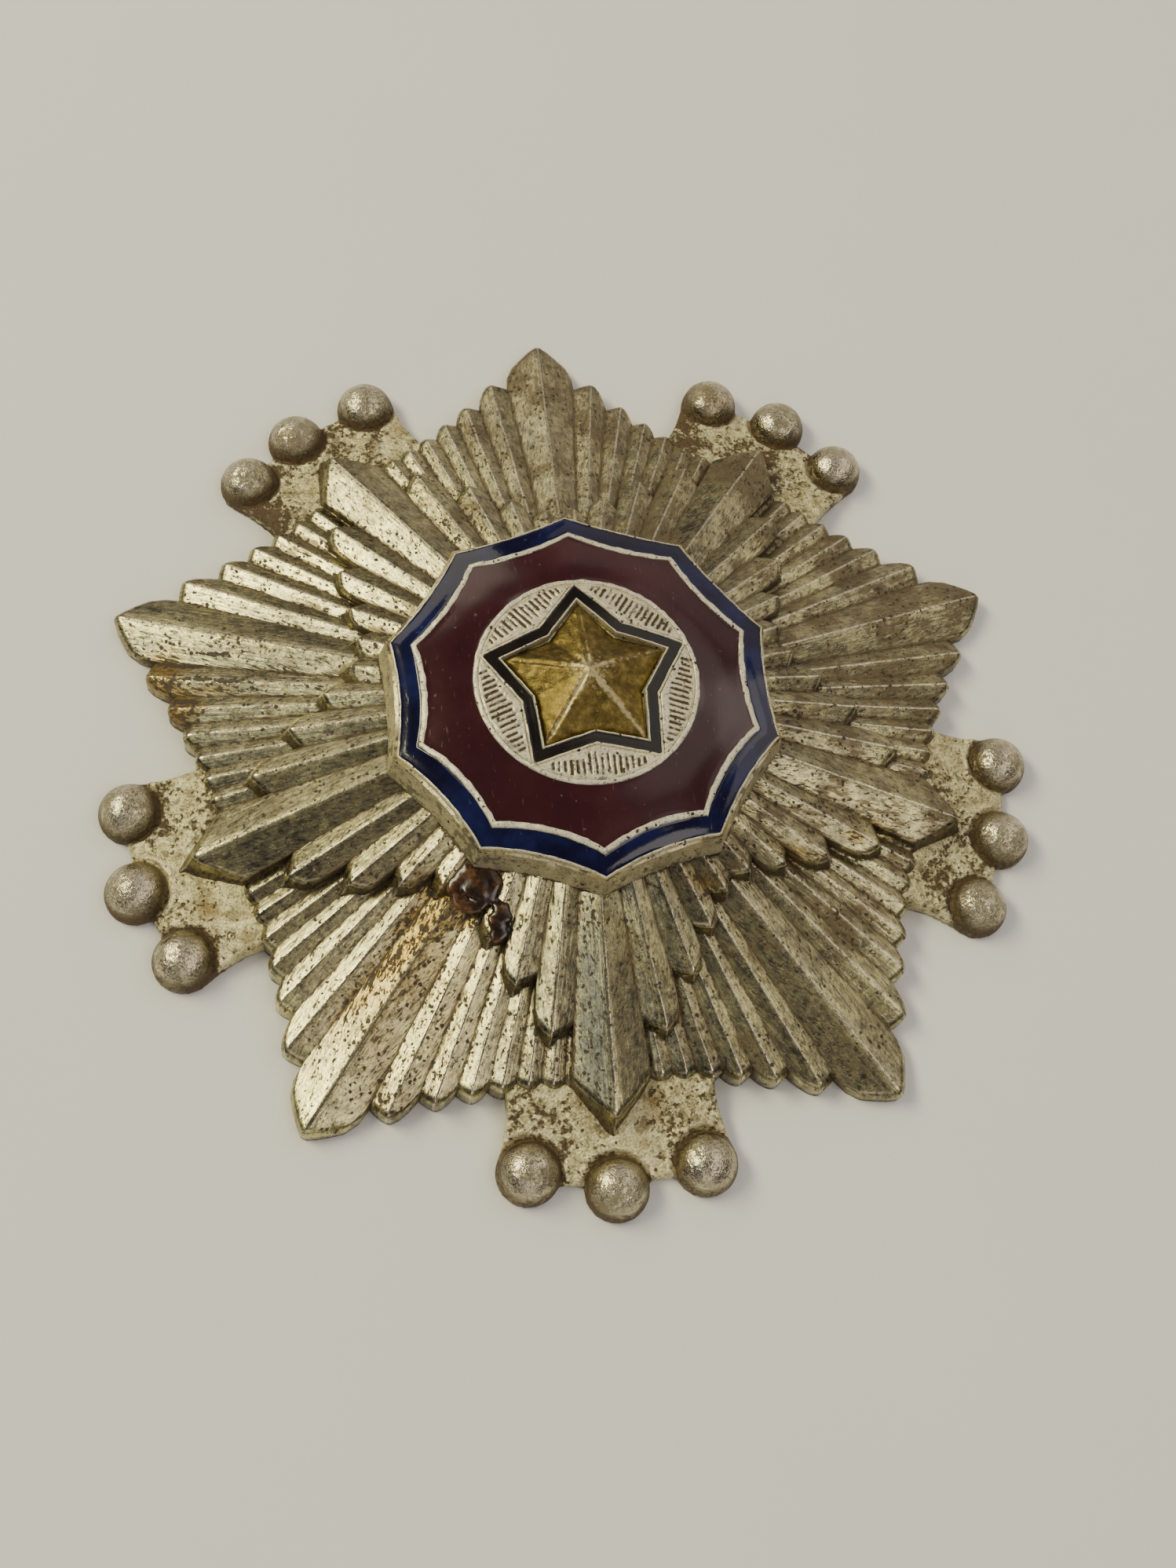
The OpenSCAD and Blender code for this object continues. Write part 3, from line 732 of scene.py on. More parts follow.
def wornRow(angles, outline, inset, height, wear=0.0, seed=0.0):
    # One line of a polar shell, at a height from the dome's surface, made a little uneven
    row = []
    for a in angles:
        r = outline(a, inset)
        spot = Vector((r * math.cos(a), r * math.sin(a), seed))
        r += noise.noise(spot * 1.7) * wear
        row.append((r, domeHeight(r) + height + noise.noise(spot * 1.3 + Vector((9, 0, 0))) * wear))
    return row


def circleLine(angle, radius):
    return radius


angles = shellAngles()
deep = medallionSizes["cellDepth"]
ringOut = medallionSizes["ringRadius"]
ringIn = ringOut - medallionSizes["ringWidth"]
wear = medallionSizes["wear"]
outlineIn = emblemSizes["outline"]
blackIn = outlineIn + emblemSizes["black"]
inlineIn = blackIn + emblemSizes["inline"]
field = -emblemSizes["fieldSink"]
# Each line: outline, inset or radius, height from the dome, wear
profile = [
    (tenSided, 0.0, -0.42, 0), (tenSided, 0.0, -0.12, 0.4), (tenSided, 0.03, -0.035, 0.6),
    (tenSided, 0.08, 0.0, 0.7), (tenSided, 0.14, -0.01, 0.6), (tenSided, 0.17, -0.08, 0.5),
    (tenSided, 0.18, -deep, 0), (tenSided, lineIn - 0.02, -deep, 0),
    (tenSided, lineIn, -0.1, 0.8), (tenSided, lineIn + 0.06, -0.005, 1.3),
    (tenSided, lineIn + 0.16, 0.02, 1.2), (tenSided, redIn - 0.16, 0.02, 1.2),
    (tenSided, redIn - 0.06, -0.005, 1.3), (tenSided, redIn, -0.1, 0.8),
    (tenSided, redIn + 0.02, -deep, 0), (circleLine, ringOut + 0.02, -deep, 0),
    (circleLine, ringOut, -0.1, 0.5), (circleLine, ringOut - 0.05, 0.0, 1),
    (circleLine, ringOut - 0.14, 0.03, 1), (circleLine, ringIn + 0.1, 0.03, 1),
    (circleLine, ringIn + 0.03, -0.02, 0.7), (circleLine, ringIn, -0.13, 0.4),
    (circleLine, ringIn - 0.06, -0.15, 0.3), (circleLine, ringIn - 0.11, -0.05, 0.5),
    (circleLine, ringIn - 0.17, -0.03, 0.5),
]
rows, raised = [], []
for z, out in medallionSizes["wall"]:
    row = []
    for a in angles:
        lean = out * (1 + medallionSizes["lean"]
                      * max(0, math.cos(a - math.radians(medallionSizes["leanTo"]))))
        r = tenSided(a, -lean)
        spot = Vector((r * math.cos(a), r * math.sin(a), z))
        row.append((r + noise.noise(spot * 0.8) * medallionSizes["wallWear"], z))
    rows.append(row)
    raised.append(0)
raised += [share if height > -0.05 else 0 for _, _, height, share in profile]
rows += [wornRow(angles, outline, inset, height, wear * share)
         for outline, inset, height, share in profile]
# Between ring and star the field shrinks onto the star's outline
fieldEdge = ringIn - 0.22
for share in (0.0, 0.25, 0.5, 0.75, 1.0):
    row = []
    for a in angles:
        r = fieldEdge + (min(starLine(a, -0.07), fieldEdge) - fieldEdge) * share
        row.append((r, domeHeight(r) + field))
    rows.append(row)
    raised.append(0.2)
starProfile = [
    (-0.04, -0.16, 0), (0.0, -0.05, 0.5), (0.04, 0.0, 0.8), (outlineIn - 0.04, 0.0, 0.8),
    (outlineIn, -0.06, 0.5), (outlineIn + 0.01, -deep, 0), (blackIn - 0.01, -deep, 0),
    (blackIn, -0.06, 0.5), (blackIn + 0.035, -0.01, 0.8), (inlineIn - 0.035, -0.01, 0.8),
    (inlineIn, -0.06, 0.5), (inlineIn + 0.03, -emblemSizes["recess"], 0),
]
rows += [wornRow(angles, starLine, inset, height, wear * share)
         for inset, height, share in starProfile]
raised += [share * 1.25 if height > -0.03 else 0 for _, height, share in starProfile]
medallion = polarShell("medallionBody", angles, rows, medallionSilver)
# Dull dirt sits on the wall
# Painted shade: the wall is darkened a little through its slot share
wallRows = len(medallionSizes["wall"]) + 1
wallShade = [0.04] * wallRows + [0] * (len(rows) - wallRows)
for key, shares in (("raised", raised), ("slot", wallShade)):
    setNumbers(medallion.data, key, [min(1, share) for share in shares for _ in angles])
shadeByAngle(medallion, 40)
finishPiece(medallion, "medallion")


# Share of the way across a cell, and height from the dome
enamelProfile = [(0.0, -deep + 0.05), (0.0, -0.075), (0.03, -0.086), (0.12, -0.09),
                 (0.3, -0.09), (0.5, -0.08), (0.7, -0.09), (0.88, -0.09),
                 (0.97, -0.086), (1.0, -0.075), (1.0, -deep + 0.05)]


def enamelRing(name, outer, inner, material, node, swell):
    # Enamel between two walls: it stands a little up them, and swells or sags between
    rows = []
    for share, height in enamelProfile:
        row = []
        for a in angles:
            r = outer(a) + (inner(a) - outer(a)) * share
            bulge = swell * 4 * share * (1 - share) if height > -deep / 2 else 0
            spot = Vector((r * math.cos(a), r * math.sin(a), 3))
            ripple = noise.noise(spot * 0.45) * 0.02 if 0 < share < 1 else 0
            row.append((r, domeHeight(r) + height + bulge + ripple))
        rows.append(row)
    piece = polarShell(name, angles, rows, material, ring=True)
    shadeByAngle(piece, 50)
    finishPiece(piece, node)


enamelRing("blueEnamel", lambda a: tenSided(a, 0.165), lambda a: tenSided(a, lineIn - 0.005),
           blueGlass, "blue_enamel", 0.02)
enamelRing("redEnamel", lambda a: tenSided(a, redIn + 0.005), lambda a: ringOut + 0.005,
           redGlass, "red_enamel", 0.03)
enamelRing("blackEnamel", lambda a: starLine(a, outlineIn + 0.003),
           lambda a: starLine(a, blackIn - 0.003), blackGlass, "black_enamel", 0.0)
print("medallion made")


# Five segments between ring and star: plain cream fields with short dark strokes cut in

hatchSizes = {
    "pitch": 0.41, "slot": 0.24, "depth": 0.17, "halfSegment": 4.2, "strokesTo": 3.3,
    "starClear": 0.06, "ringClear": 0.02, "rise": -0.05, "thick": 0.4,
    "rows": 22, "columns": 200,
    "uneven": (0.12, 0.12, 0.08),
}


def hatchTree():
    tree, inputs, values = newTree("segmentHatch", {
        "Int": ("Rows", "Columns"),
        "Float": ("Pitch", "Slot width", "Depth", "Half segment", "Strokes to", "Star", "Slope",
                  "Ring", "Rise", "Thick", "Dome", "Dome curve"),
        "Vector": ("Uneven",),
        "Material": ("Material",)})
    shape = boxOnEachPoint(tree, inputs, values, 2, ["heading"])
    addSteps(tree, values, [
        ("u", "ADD", "px", 0.5),
        ("y2", "MULTIPLY", "py", 2.0),
        ("y", "MULTIPLY", "y2", "halfSegment"),
        ("wide", "ABSOLUTE", "y"),
        ("low", "MULTIPLY_ADD", "wide", "slope", "star"),
        ("yy", "MULTIPLY", "y", "y"),
        ("ring2", "MULTIPLY", "ring", "ring"),
        ("high2", "SUBTRACT", "ring2", "yy"),
        ("high", "SQRT", "high2"),
        ("span", "SUBTRACT", "high", "low"),
        ("spanLow", "MAXIMUM", "span", 0.0),
        ("x", "MULTIPLY_ADD", "spanLow", "u", "low"),
        # Strokes stand a pitch apart, each with its own ends and depth
        ("count", "DIVIDE", "y", "pitch"),
        ("number", "FLOOR", "count"),
        ("part", "SUBTRACT", "count", "number"),
        ("offMiddle", "SUBTRACT", "part", 0.5),
        ("offWide", "ABSOLUTE", "offMiddle"),
        ("offMm", "MULTIPLY", "offWide", "pitch"),
        ("offShare", "DIVIDE", "offMm", "slotWidth"),
        ("offDouble", "MULTIPLY", "offShare", 2.0),
        ("cut", "SUBTRACT", 1.25, "offDouble", "clamped"),
        ("seed", "MULTIPLY_ADD", "heading", 3.7, "number"),
    ])
    chance = addNode(tree, "ShaderNodeTexWhiteNoise", {"W": values["seed"]},
                     noise_dimensions="1D").outputs["Color"]
    parts = addNode(tree, "ShaderNodeSeparateXYZ", {0: chance})
    values["first"], values["last"], values["force"] = parts.outputs[:3]
    addSteps(tree, values, [
        ("from", "MULTIPLY_ADD", "first", 0.2, 0.1),
        ("to", "MULTIPLY_ADD", "last", 0.12, 0.84),
        ("past", "SUBTRACT", "u", "from"),
        ("before", "SUBTRACT", "to", "u"),
        ("ends", "MINIMUM", "past", "before"),
        ("endsMm", "MULTIPLY", "ends", "spanLow"),
        ("endsOn", "MULTIPLY", "endsMm", 9000.0, "clamped"),
        ("strength", "MULTIPLY_ADD", "force", 0.35, 0.38),
        ("inReach", "LESS_THAN", "wide", "strokesTo"),
        ("slotAny", "MULTIPLY", "cut", "endsOn"),
        ("slotRaw", "MULTIPLY", "slotAny", "inReach"),
        ("slot", "MULTIPLY", "slotRaw", "strength"),
        ("x2", "MULTIPLY", "x", "x"),
        ("r2", "ADD", "x2", "yy"),
        ("curve2", "MULTIPLY", "domeCurve", "domeCurve"),
        ("rest", "SUBTRACT", "curve2", "r2"),
        ("arc", "SQRT", "rest"),
        ("domeLow", "SUBTRACT", "dome", "domeCurve"),
        ("domeHeight", "ADD", "arc", "domeLow"),
        ("surface", "ADD", "domeHeight", "rise"),
        ("isTop", "GREATER_THAN", "pz", 0.0),
        ("cutDeep", "MULTIPLY", "slot", "depth"),
        ("cutTop", "MULTIPLY", "cutDeep", "isTop"),
        ("isUnder", "SUBTRACT", 1.0, "isTop"),
        ("surfaceCut", "SUBTRACT", "surface", "cutTop"),
        ("thickUnder", "MULTIPLY", "isUnder", "thick"),
        ("z", "SUBTRACT", "surfaceCut", "thickUnder"),
        ("cosine", "COSINE", "heading"),
        ("sine", "SINE", "heading"),
        ("xc", "MULTIPLY", "x", "cosine"),
        ("ys", "MULTIPLY", "y", "sine"),
        ("xOut", "SUBTRACT", "xc", "ys"),
        ("xs", "MULTIPLY", "x", "sine"),
        ("yOut", "MULTIPLY_ADD", "y", "cosine", "xs"),
    ])
    spot = addNode(tree, "ShaderNodeCombineXYZ", {
        0: values["xOut"], 1: values["yOut"], 2: values["z"]}).outputs[0]
    wave = addNode(tree, "ShaderNodeTexNoise", {
        "Vector": spot, "Scale": 1300.0, "Detail": 3.0}).outputs["Color"]
    centred = addNode(tree, "ShaderNodeVectorMath", {0: wave, 1: (0.5, 0.5, 0.5)},
                      operation="SUBTRACT").outputs[0]
    shift = addNode(tree, "ShaderNodeVectorMath", {0: centred, 1: inputs["Uneven"]},
                    operation="MULTIPLY").outputs[0]
    values["raised"] = 0.6
    for name in ("slot", "raised"):
        shape = addNode(tree, "GeometryNodeStoreNamedAttribute", {
            "Geometry": shape, "Name": name, "Value": values[name]},
            data_type="FLOAT", domain="POINT").outputs[0]
    shape = addNode(tree, "GeometryNodeSetPosition", {
        "Geometry": shape, "Position": spot, "Offset": shift}).outputs[0]
    endTree(tree, inputs, shape)
    return tree


slope = (emblemSizes["radius"] * math.cos(math.radians(36)) - emblemSizes["innerRadius"]) \
    / (emblemSizes["radius"] * math.sin(math.radians(36)))
segments = runTree("segmentHatch", hatchTree(), {
    "Rows": hatchSizes["rows"], "Columns": hatchSizes["columns"],
    "Pitch": hatchSizes["pitch"] * mm, "Slot width": hatchSizes["slot"] * mm,
    "Depth": hatchSizes["depth"] * mm, "Half segment": hatchSizes["halfSegment"] * mm,
    "Strokes to": hatchSizes["strokesTo"] * mm, "Slope": slope,
    "Star": (emblemSizes["innerRadius"] + hatchSizes["starClear"]) * mm,
    "Ring": (ringIn - hatchSizes["ringClear"]) * mm, "Rise": hatchSizes["rise"] * mm,
    "Thick": hatchSizes["thick"] * mm, "Dome": medallionSizes["dome"] * mm,
    "Dome curve": medallionSizes["domeCurve"] * mm,
    "Uneven": tuple(size * mm for size in hatchSizes["uneven"]), "Material": medallionSilver},
    [(0, 0, 0)] * 5,
    [{"heading": math.radians(126 + emblemSizes["turn"] + 72 * k)} for k in range(5)])
finishPiece(segments, "medallion")
print("segments made")


# Gilt star: ten facets with worn ridges, each facet a grid so that wear can shape it

giltSizes = {
    "steps": 26, "footSink": 0.05, "footSpread": 1.015,
    "bare": [0.25, 0.45, 0.8, 1.0, 0.55],  # bare silver along each ridge, from the top one round
    "facetWidth": 3.4, "ridgeWidth": 0.62, "ridgeTaper": 0.36,
    "round": 0.16, "roundWidth": 0.2,
    "middleWidth": 1.4, "middleFlat": 0.06,
    "edge": 0.1, "edgeShare": 0.06,
}


def giltPiece():
    inset = inlineIn + emblemSizes["giltSpace"]
    foot = domeHeight(0) - emblemSizes["recess"] - giltSizes["footSink"]
    peak = Vector((0, 0, emblemSizes["peak"]))
    rim = []
    for k in range(10):
        a = math.radians(90 + emblemSizes["turn"] + 36 * k)
        r = starLine(a, inset)
        sink = emblemSizes["tipSink"] if k % 2 == 0 else emblemSizes["cornerSink"]
        rim.append(Vector((r * math.cos(a), r * math.sin(a), domeHeight(0) - sink)))
    steps = giltSizes["steps"]
    verts, faces, ridge = [], [], []
    index = {}

    def corner(k, i, j):
        # i steps out from the peak, j of i steps from spoke k to the next
        key = (0, 0, 0) if i == 0 else ((k + 1) % 10, i, 0) if j == i else (k, i, j)
        if key not in index:
            index[key] = len(verts)
            a, b = rim[k], rim[(k + 1) % 10]
            side = a.lerp(b, j / i) if i else a
            spot = peak.lerp(side, i / steps)
            tipShare = (1 - j / i if k % 2 == 0 else j / i) if i else 1
            width = (1 - tipShare) * i / steps * giltSizes["facetWidth"]
            ridgeWidth = giltSizes["ridgeWidth"] - giltSizes["ridgeTaper"] * i / steps
            onRidge = tipShare > 0.5
            worn = math.exp(-(width / ridgeWidth) ** 2) if onRidge or i == 0 else 0
            worn *= giltSizes["bare"][((k + (1 if k % 2 else 0)) % 10) // 2]
            fromTop = (spot - peak).length
            middle = math.exp(-(fromTop / giltSizes["middleWidth"]) ** 2)
            rounded = giltSizes["round"] * math.exp(-(width / giltSizes["roundWidth"]) ** 2) \
                * onRidge
            rough = noise.noise(spot * 2.2) * 0.05 + noise.noise(spot * 5.5) * 0.03
            nearEdge = max(0, 1 - (1 - i / steps) / giltSizes["edgeShare"])
            sink = giltSizes["middleFlat"] * middle + giltSizes["edge"] * nearEdge ** 2
            lift = rough * min(1, i / 4) - rounded * min(1, i / 3) - sink
            spot = spot + Vector((0, 0, lift))
            verts.append(spot * mm)
            ridge.append(min(1, worn * 0.8 + middle * 0.75))
        return index[key]

    for k in range(10):
        for i in range(1, steps + 1):
            for j in range(i):
                near, far = corner(k, i - 1, j), corner(k, i, j + 1)
                faces.append([near, corner(k, i, j), far])
                if j < i - 1:
                    faces.append([near, far, corner(k, i - 1, j + 1)])
    # Walls down into the recess, and the underside
    border = [corner(k, steps, j) for k in range(10) for j in range(steps)]
    below = []
    for i in border:
        below.append(len(verts))
        spread = giltSizes["footSpread"]
        verts.append(Vector((verts[i].x * spread, verts[i].y * spread, foot * mm)))
        ridge.append(0)
    centre = len(verts)
    verts.append(Vector((0, 0, foot * mm)))
    ridge.append(0)
    for i in range(len(border)):
        j = (i + 1) % len(border)
        faces.append([border[i], below[i], below[j], border[j]])
        faces.append([centre, below[j], below[i]])
    piece = meshObject("giltStar", verts, faces, gilding)
    setNumbers(piece.data, "ridge", ridge)
    shadeByAngle(piece, 48)
    return piece


finishPiece(giltPiece(), "gilt_star")
print("gilt star made")


# Rays of both tiers, by one tree: a box on each point is bent into that point's ray

def rayTree():
    tree, inputs, values = newTree("rayTier", {
        "Int": ("Columns", "Rows", "Levels"),
        "Float": ("Start radius", "Peak", "Valley fall", "Lap", "Crest", "Edge", "Edge drop",
                  "Point", "Depth", "Hollow curve", "Hollow depth", "Hollowed", "Wobble",
                  "Seed", "Foot peak", "Foot fall"),
        "Object": ("Cover",),
        "Material": ("Material",)})
    shape = boxOnEachPoint(tree, inputs, values, inputs["Levels"], [
        "middle", "half", "tip", "taper", "dropBefore", "dropAfter", "power", "rise",
        "draftBefore", "draftAfter", "number"])
    addSteps(tree, values, [
        ("backwards", "SUBTRACT", 0.5, "px"),
        ("down", "SUBTRACT", 0.5, "pz"),
        ("w", "MULTIPLY", "py", 2.0),
        ("wide", "ABSOLUTE", "w"),
        ("side", "SIGN", "w"),
        # Columns stand closer together at the crest and at the valleys
        ("phase", "MULTIPLY", "wide", math.pi),
        ("wave", "COSINE", "phase"),
        ("share", "MULTIPLY_ADD", "wave", -0.5, 0.5),
        ("after", "GREATER_THAN", "w", 0.0),
        ("span", "SUBTRACT", "dropAfter", "dropBefore"),
        ("drop", "MULTIPLY_ADD", "after", "span", "dropBefore"),
        ("shape", "POWER", "share", "power"),
        ("cutA", "MULTIPLY", "drop", "shape"),
        # The point is blunt
        ("point2", "MULTIPLY", "point", "point"),
        ("tip2", "MULTIPLY_ADD", "share", "share", "point2"),
        ("tipRoot", "SQRT", "tip2"),
        ("tipShare", "SUBTRACT", "tipRoot", "point"),
        ("cut", "MULTIPLY_ADD", "taper", "tipShare", "cutA"),
        ("end", "SUBTRACT", "tip", "cut"),
        ("length", "SUBTRACT", "end", "startRadius"),
        # Rows stand closer together at the end
        ("rowShare", "POWER", "backwards", 1.7),
        ("fromEnd", "MULTIPLY", "length", "rowShare"),
        ("r", "SUBTRACT", "end", "fromEnd"),
        ("onTop", "LESS_THAN", "down", 0.5),
        ("halfWidth", "MULTIPLY", "r", "half"),
        ("lapShare", "DIVIDE", "lap", "halfWidth"),
        ("lapTop", "MULTIPLY", "lapShare", "onTop"),
        ("stretch", "ADD", 1.0, "lapTop"),
        ("shareLap", "MULTIPLY", "share", "stretch"),
        ("u", "MULTIPLY", "shareLap", "side"),
        # A crest with a small round
        ("soft2", "MULTIPLY", "crest", "crest"),
        ("share2", "MULTIPLY_ADD", "shareLap", "shareLap", "soft2"),
        ("softRoot", "SQRT", "share2"),
        ("softShare", "SUBTRACT", "softRoot", "crest"),
        ("ridgeFall", "SUBTRACT", "valleyFall", "rise"),
        ("fall", "MULTIPLY_ADD", "rise", "softShare", "ridgeFall"),
        ("sunk", "MULTIPLY", "r", "fall"),
        ("plain", "SUBTRACT", "peak", "sunk"),
        # The end's top edge is rounded off
        ("edgeOff", "DIVIDE", "fromEnd", "edge"),
        ("edgeOn", "SUBTRACT", 1.0, "edgeOff", "clamped"),
        ("edge2", "MULTIPLY", "edgeOn", "edgeOn"),
        ("edgeDeep", "MULTIPLY", "edge2", "edgeDrop"),
        ("top", "SUBTRACT", "plain", "edgeDeep"),
        # The underside follows the hollow, or lies at a fixed depth inside the tier below
        ("r2", "MULTIPLY", "r", "r"),
        ("curve2", "MULTIPLY", "hollowCurve", "hollowCurve"),
        ("rest2", "SUBTRACT", "curve2", "r2"),
        ("arc", "SQRT", "rest2"),
        ("roofA", "SUBTRACT", "arc", "hollowCurve"),
        ("roofB", "ADD", "roofA", "hollowDepth"),
        ("roof", "MAXIMUM", "roofB", 0.0),
        ("inner", "SUBTRACT", "top", "depth"),
        ("gapUp", "SUBTRACT", "roof", "inner"),
        ("under", "MULTIPLY_ADD", "hollowed", "gapUp", "inner"),
        ("downShare", "POWER", "down", 1.4),
        ("height", "SUBTRACT", "top", "under"),
        ("below", "MULTIPLY", "height", "downShare"),
        ("z", "SUBTRACT", "top", "below"),
        # The end wall leans out, more towards its foot
        ("atEnd", "LESS_THAN", "backwards", 0.001),
        ("draftSpan", "SUBTRACT", "draftAfter", "draftBefore"),
        ("draft", "MULTIPLY_ADD", "after", "draftSpan", "draftBefore"),
        ("coveA", "MULTIPLY_ADD", "below", 300.0, 0.7),
        ("coveB", "MULTIPLY", "coveA", "draft"),
        ("cove", "MULTIPLY", "coveB", "below"),
        ("rOut", "MULTIPLY_ADD", "atEnd", "cove", "r"),
        ("angle", "MULTIPLY_ADD", "u", "half", "middle"),
        ("cosine", "COSINE", "angle"),
        ("sine", "SINE", "angle"),
        ("x", "MULTIPLY", "rOut", "cosine"),
        ("y", "MULTIPLY", "rOut", "sine"),
        ("alongWidth", "MULTIPLY", "u", "halfWidth"),
        ("downWall", "MULTIPLY", "atEnd", "below"),
        ("alongRay", "SUBTRACT", "fromEnd", "downWall"),
        # For the finish: millimetres to the crest and to the valley, and the share down the wall
        ("widthLeft", "SUBTRACT", 1.0, "share"),
        ("halfMm", "MULTIPLY", "halfWidth", 1000.0),
        ("crestFar", "MULTIPLY", "share", "halfMm"),
        ("valleyFar", "MULTIPLY", "widthLeft", "halfMm"),
        ("footDrop", "MULTIPLY", "r", "footFall"),
        ("foot", "SUBTRACT", "footPeak", "footDrop"),
        ("overFoot", "SUBTRACT", "z", "foot"),
        ("footShare", "MULTIPLY_ADD", "overFoot", -3000.0, 1.1, "clamped"),
        ("onWall", "GREATER_THAN", "down", 0.001),
        ("wall", "MULTIPLY", "footShare", "onWall"),
        # Each ray reads another layer of the finish's patterns
        ("layer", "MULTIPLY", "number", 7.31),
        ("overUnderside", "LESS_THAN", "down", 0.9),
    ])
    spot = addNode(tree, "ShaderNodeCombineXYZ", {
        0: values["x"], 1: values["y"], 2: values["z"]}).outputs[0]
    # Hand-finished dies leave every line a little uneven
    wave = addNode(tree, "ShaderNodeTexNoise", {
        "Vector": spot, "W": inputs["Seed"], "Scale": 420.0, "Detail": 2.0},
        noise_dimensions="4D").outputs["Color"]
    centred = addNode(tree, "ShaderNodeVectorMath", {0: wave, 1: (0.5, 0.5, 0.5)},
                      operation="SUBTRACT").outputs[0]
    shift = addNode(tree, "ShaderNodeVectorMath", {0: centred, "Scale": inputs["Wobble"]},
                    operation="SCALE").outputs[0]
    flat = addNode(tree, "ShaderNodeVectorMath", {0: shift, 1: (1, 1, 0)},
                   operation="MULTIPLY").outputs[0]
    moved = addNode(tree, "GeometryNodeSwitch", {0: values["overUnderside"], 1: flat, 2: shift},
                    input_type="VECTOR").outputs[0]
    final = addNode(tree, "ShaderNodeVectorMath", {0: spot, 1: moved}, operation="ADD").outputs[0]
    lane = addNode(tree, "ShaderNodeCombineXYZ", {
        0: values["alongWidth"], 1: values["alongRay"], 2: values["layer"]}).outputs[0]
    # Dirt and painted shade gather next to whatever lies on top
    cover = addNode(tree, "GeometryNodeObjectInfo", {"Object": inputs["Cover"]})
    near = addNode(tree, "GeometryNodeProximity", {
        0: cover.outputs["Geometry"], "Sample Position": final}, target_element="FACES")
    values["nearCover"] = near.outputs["Distance"]
    values["bend"] = addNode(tree, "GeometryNodeInputMeshEdgeAngle").outputs[0]
    addSteps(tree, values, [
        ("coverFar", "MULTIPLY", "nearCover", 1000.0),
        ("softEdge", "LESS_THAN", "bend", 0.75),
    ])
    for name in ("crestFar", "valleyFar", "wall", "coverFar"):
        shape = addNode(tree, "GeometryNodeStoreNamedAttribute", {
            "Geometry": shape, "Name": name, "Value": values[name]},
            data_type="FLOAT", domain="POINT").outputs[0]
    shape = addNode(tree, "GeometryNodeStoreNamedAttribute", {
        "Geometry": shape, "Name": "rayPlace", "Value": lane},
        data_type="FLOAT_VECTOR", domain="POINT").outputs[0]
    shape = addNode(tree, "GeometryNodeSetPosition", {
        "Geometry": shape, "Position": final}).outputs[0]
    shape = addNode(tree, "GeometryNodeSetShadeSmooth", {
        "Geometry": shape, "Shade Smooth": values["softEdge"]}, domain="EDGE").outputs[0]
    endTree(tree, inputs, shape)
    return tree


starSizes = {
    "faceFall": 0.4,  # slope of a ray's two faces across the ray
    "hollowRadius": 25.0,
    "hollowDepth": 4.9,
    "uneven": 0.002,  # the rays on one side of a group are this share shorter
    "longPower": 16.0,  # how square a long ray's shoulders are
    "startRadius": 10.5, "lap": 0.06, "depth": 2.5, "wobble": 0.1, "roofGap": 0.05,
    "footSlope": 0.02,  # the dirt at the upper tier's foot falls more than the crests by this
    # Each row of a tier's rays: degrees from the long ray's crest to the ray's far edge, and its
    # share of the radius
    "lower": {
        "columns": 13, "rows": 34, "levels": 4, "hollowed": 1.0, "seed": 3.0,
        "crest": 0.08, "edge": 0.45, "edgeDrop": 0.32, "point": 0.14,
        "radius": 34.0, "tipHeight": 1.5, "fall": 0.18, "notch": 0.15, "first": 90.0,
        "taper": 2.5, "shoulder": 1.6, "draft": 0.02, "leftDraft": 0.0,
        "chevron": 0.12, "power": 2.2,
        "rays": [(4.9, 1), (10.1, 0.9), (14.6, 0.843), (18.7, 0.808), (22.5, 0.784),
                 (26.1, 0.77), (29.6, 0.764), (32.9, 0.762), (36, 0.762)],
    },
    "upper": {
        "columns": 15, "rows": 24, "levels": 6, "hollowed": 0.0, "seed": 8.0,
        "crest": 0.07, "edge": 0.36, "edgeDrop": 0.2, "point": 0.08,
        "radius": 28.1, "tipHeight": 3.25, "fall": 0.216, "notch": 0.05, "first": 126.35,
        "taper": 2.7, "shoulder": 0.05, "draft": 0.26, "leftDraft": 0.24,
        "chevron": 0.72, "power": 9.0,
        "rays": [(5.8, 1), (13.4, 0.822), (21.1, 0.719), (28.3, 0.637), (36, 0.584)],
    },
}
hollowCurve = (starSizes["hollowRadius"] ** 2 + starSizes["hollowDepth"] ** 2) \
    / (2 * starSizes["hollowDepth"])


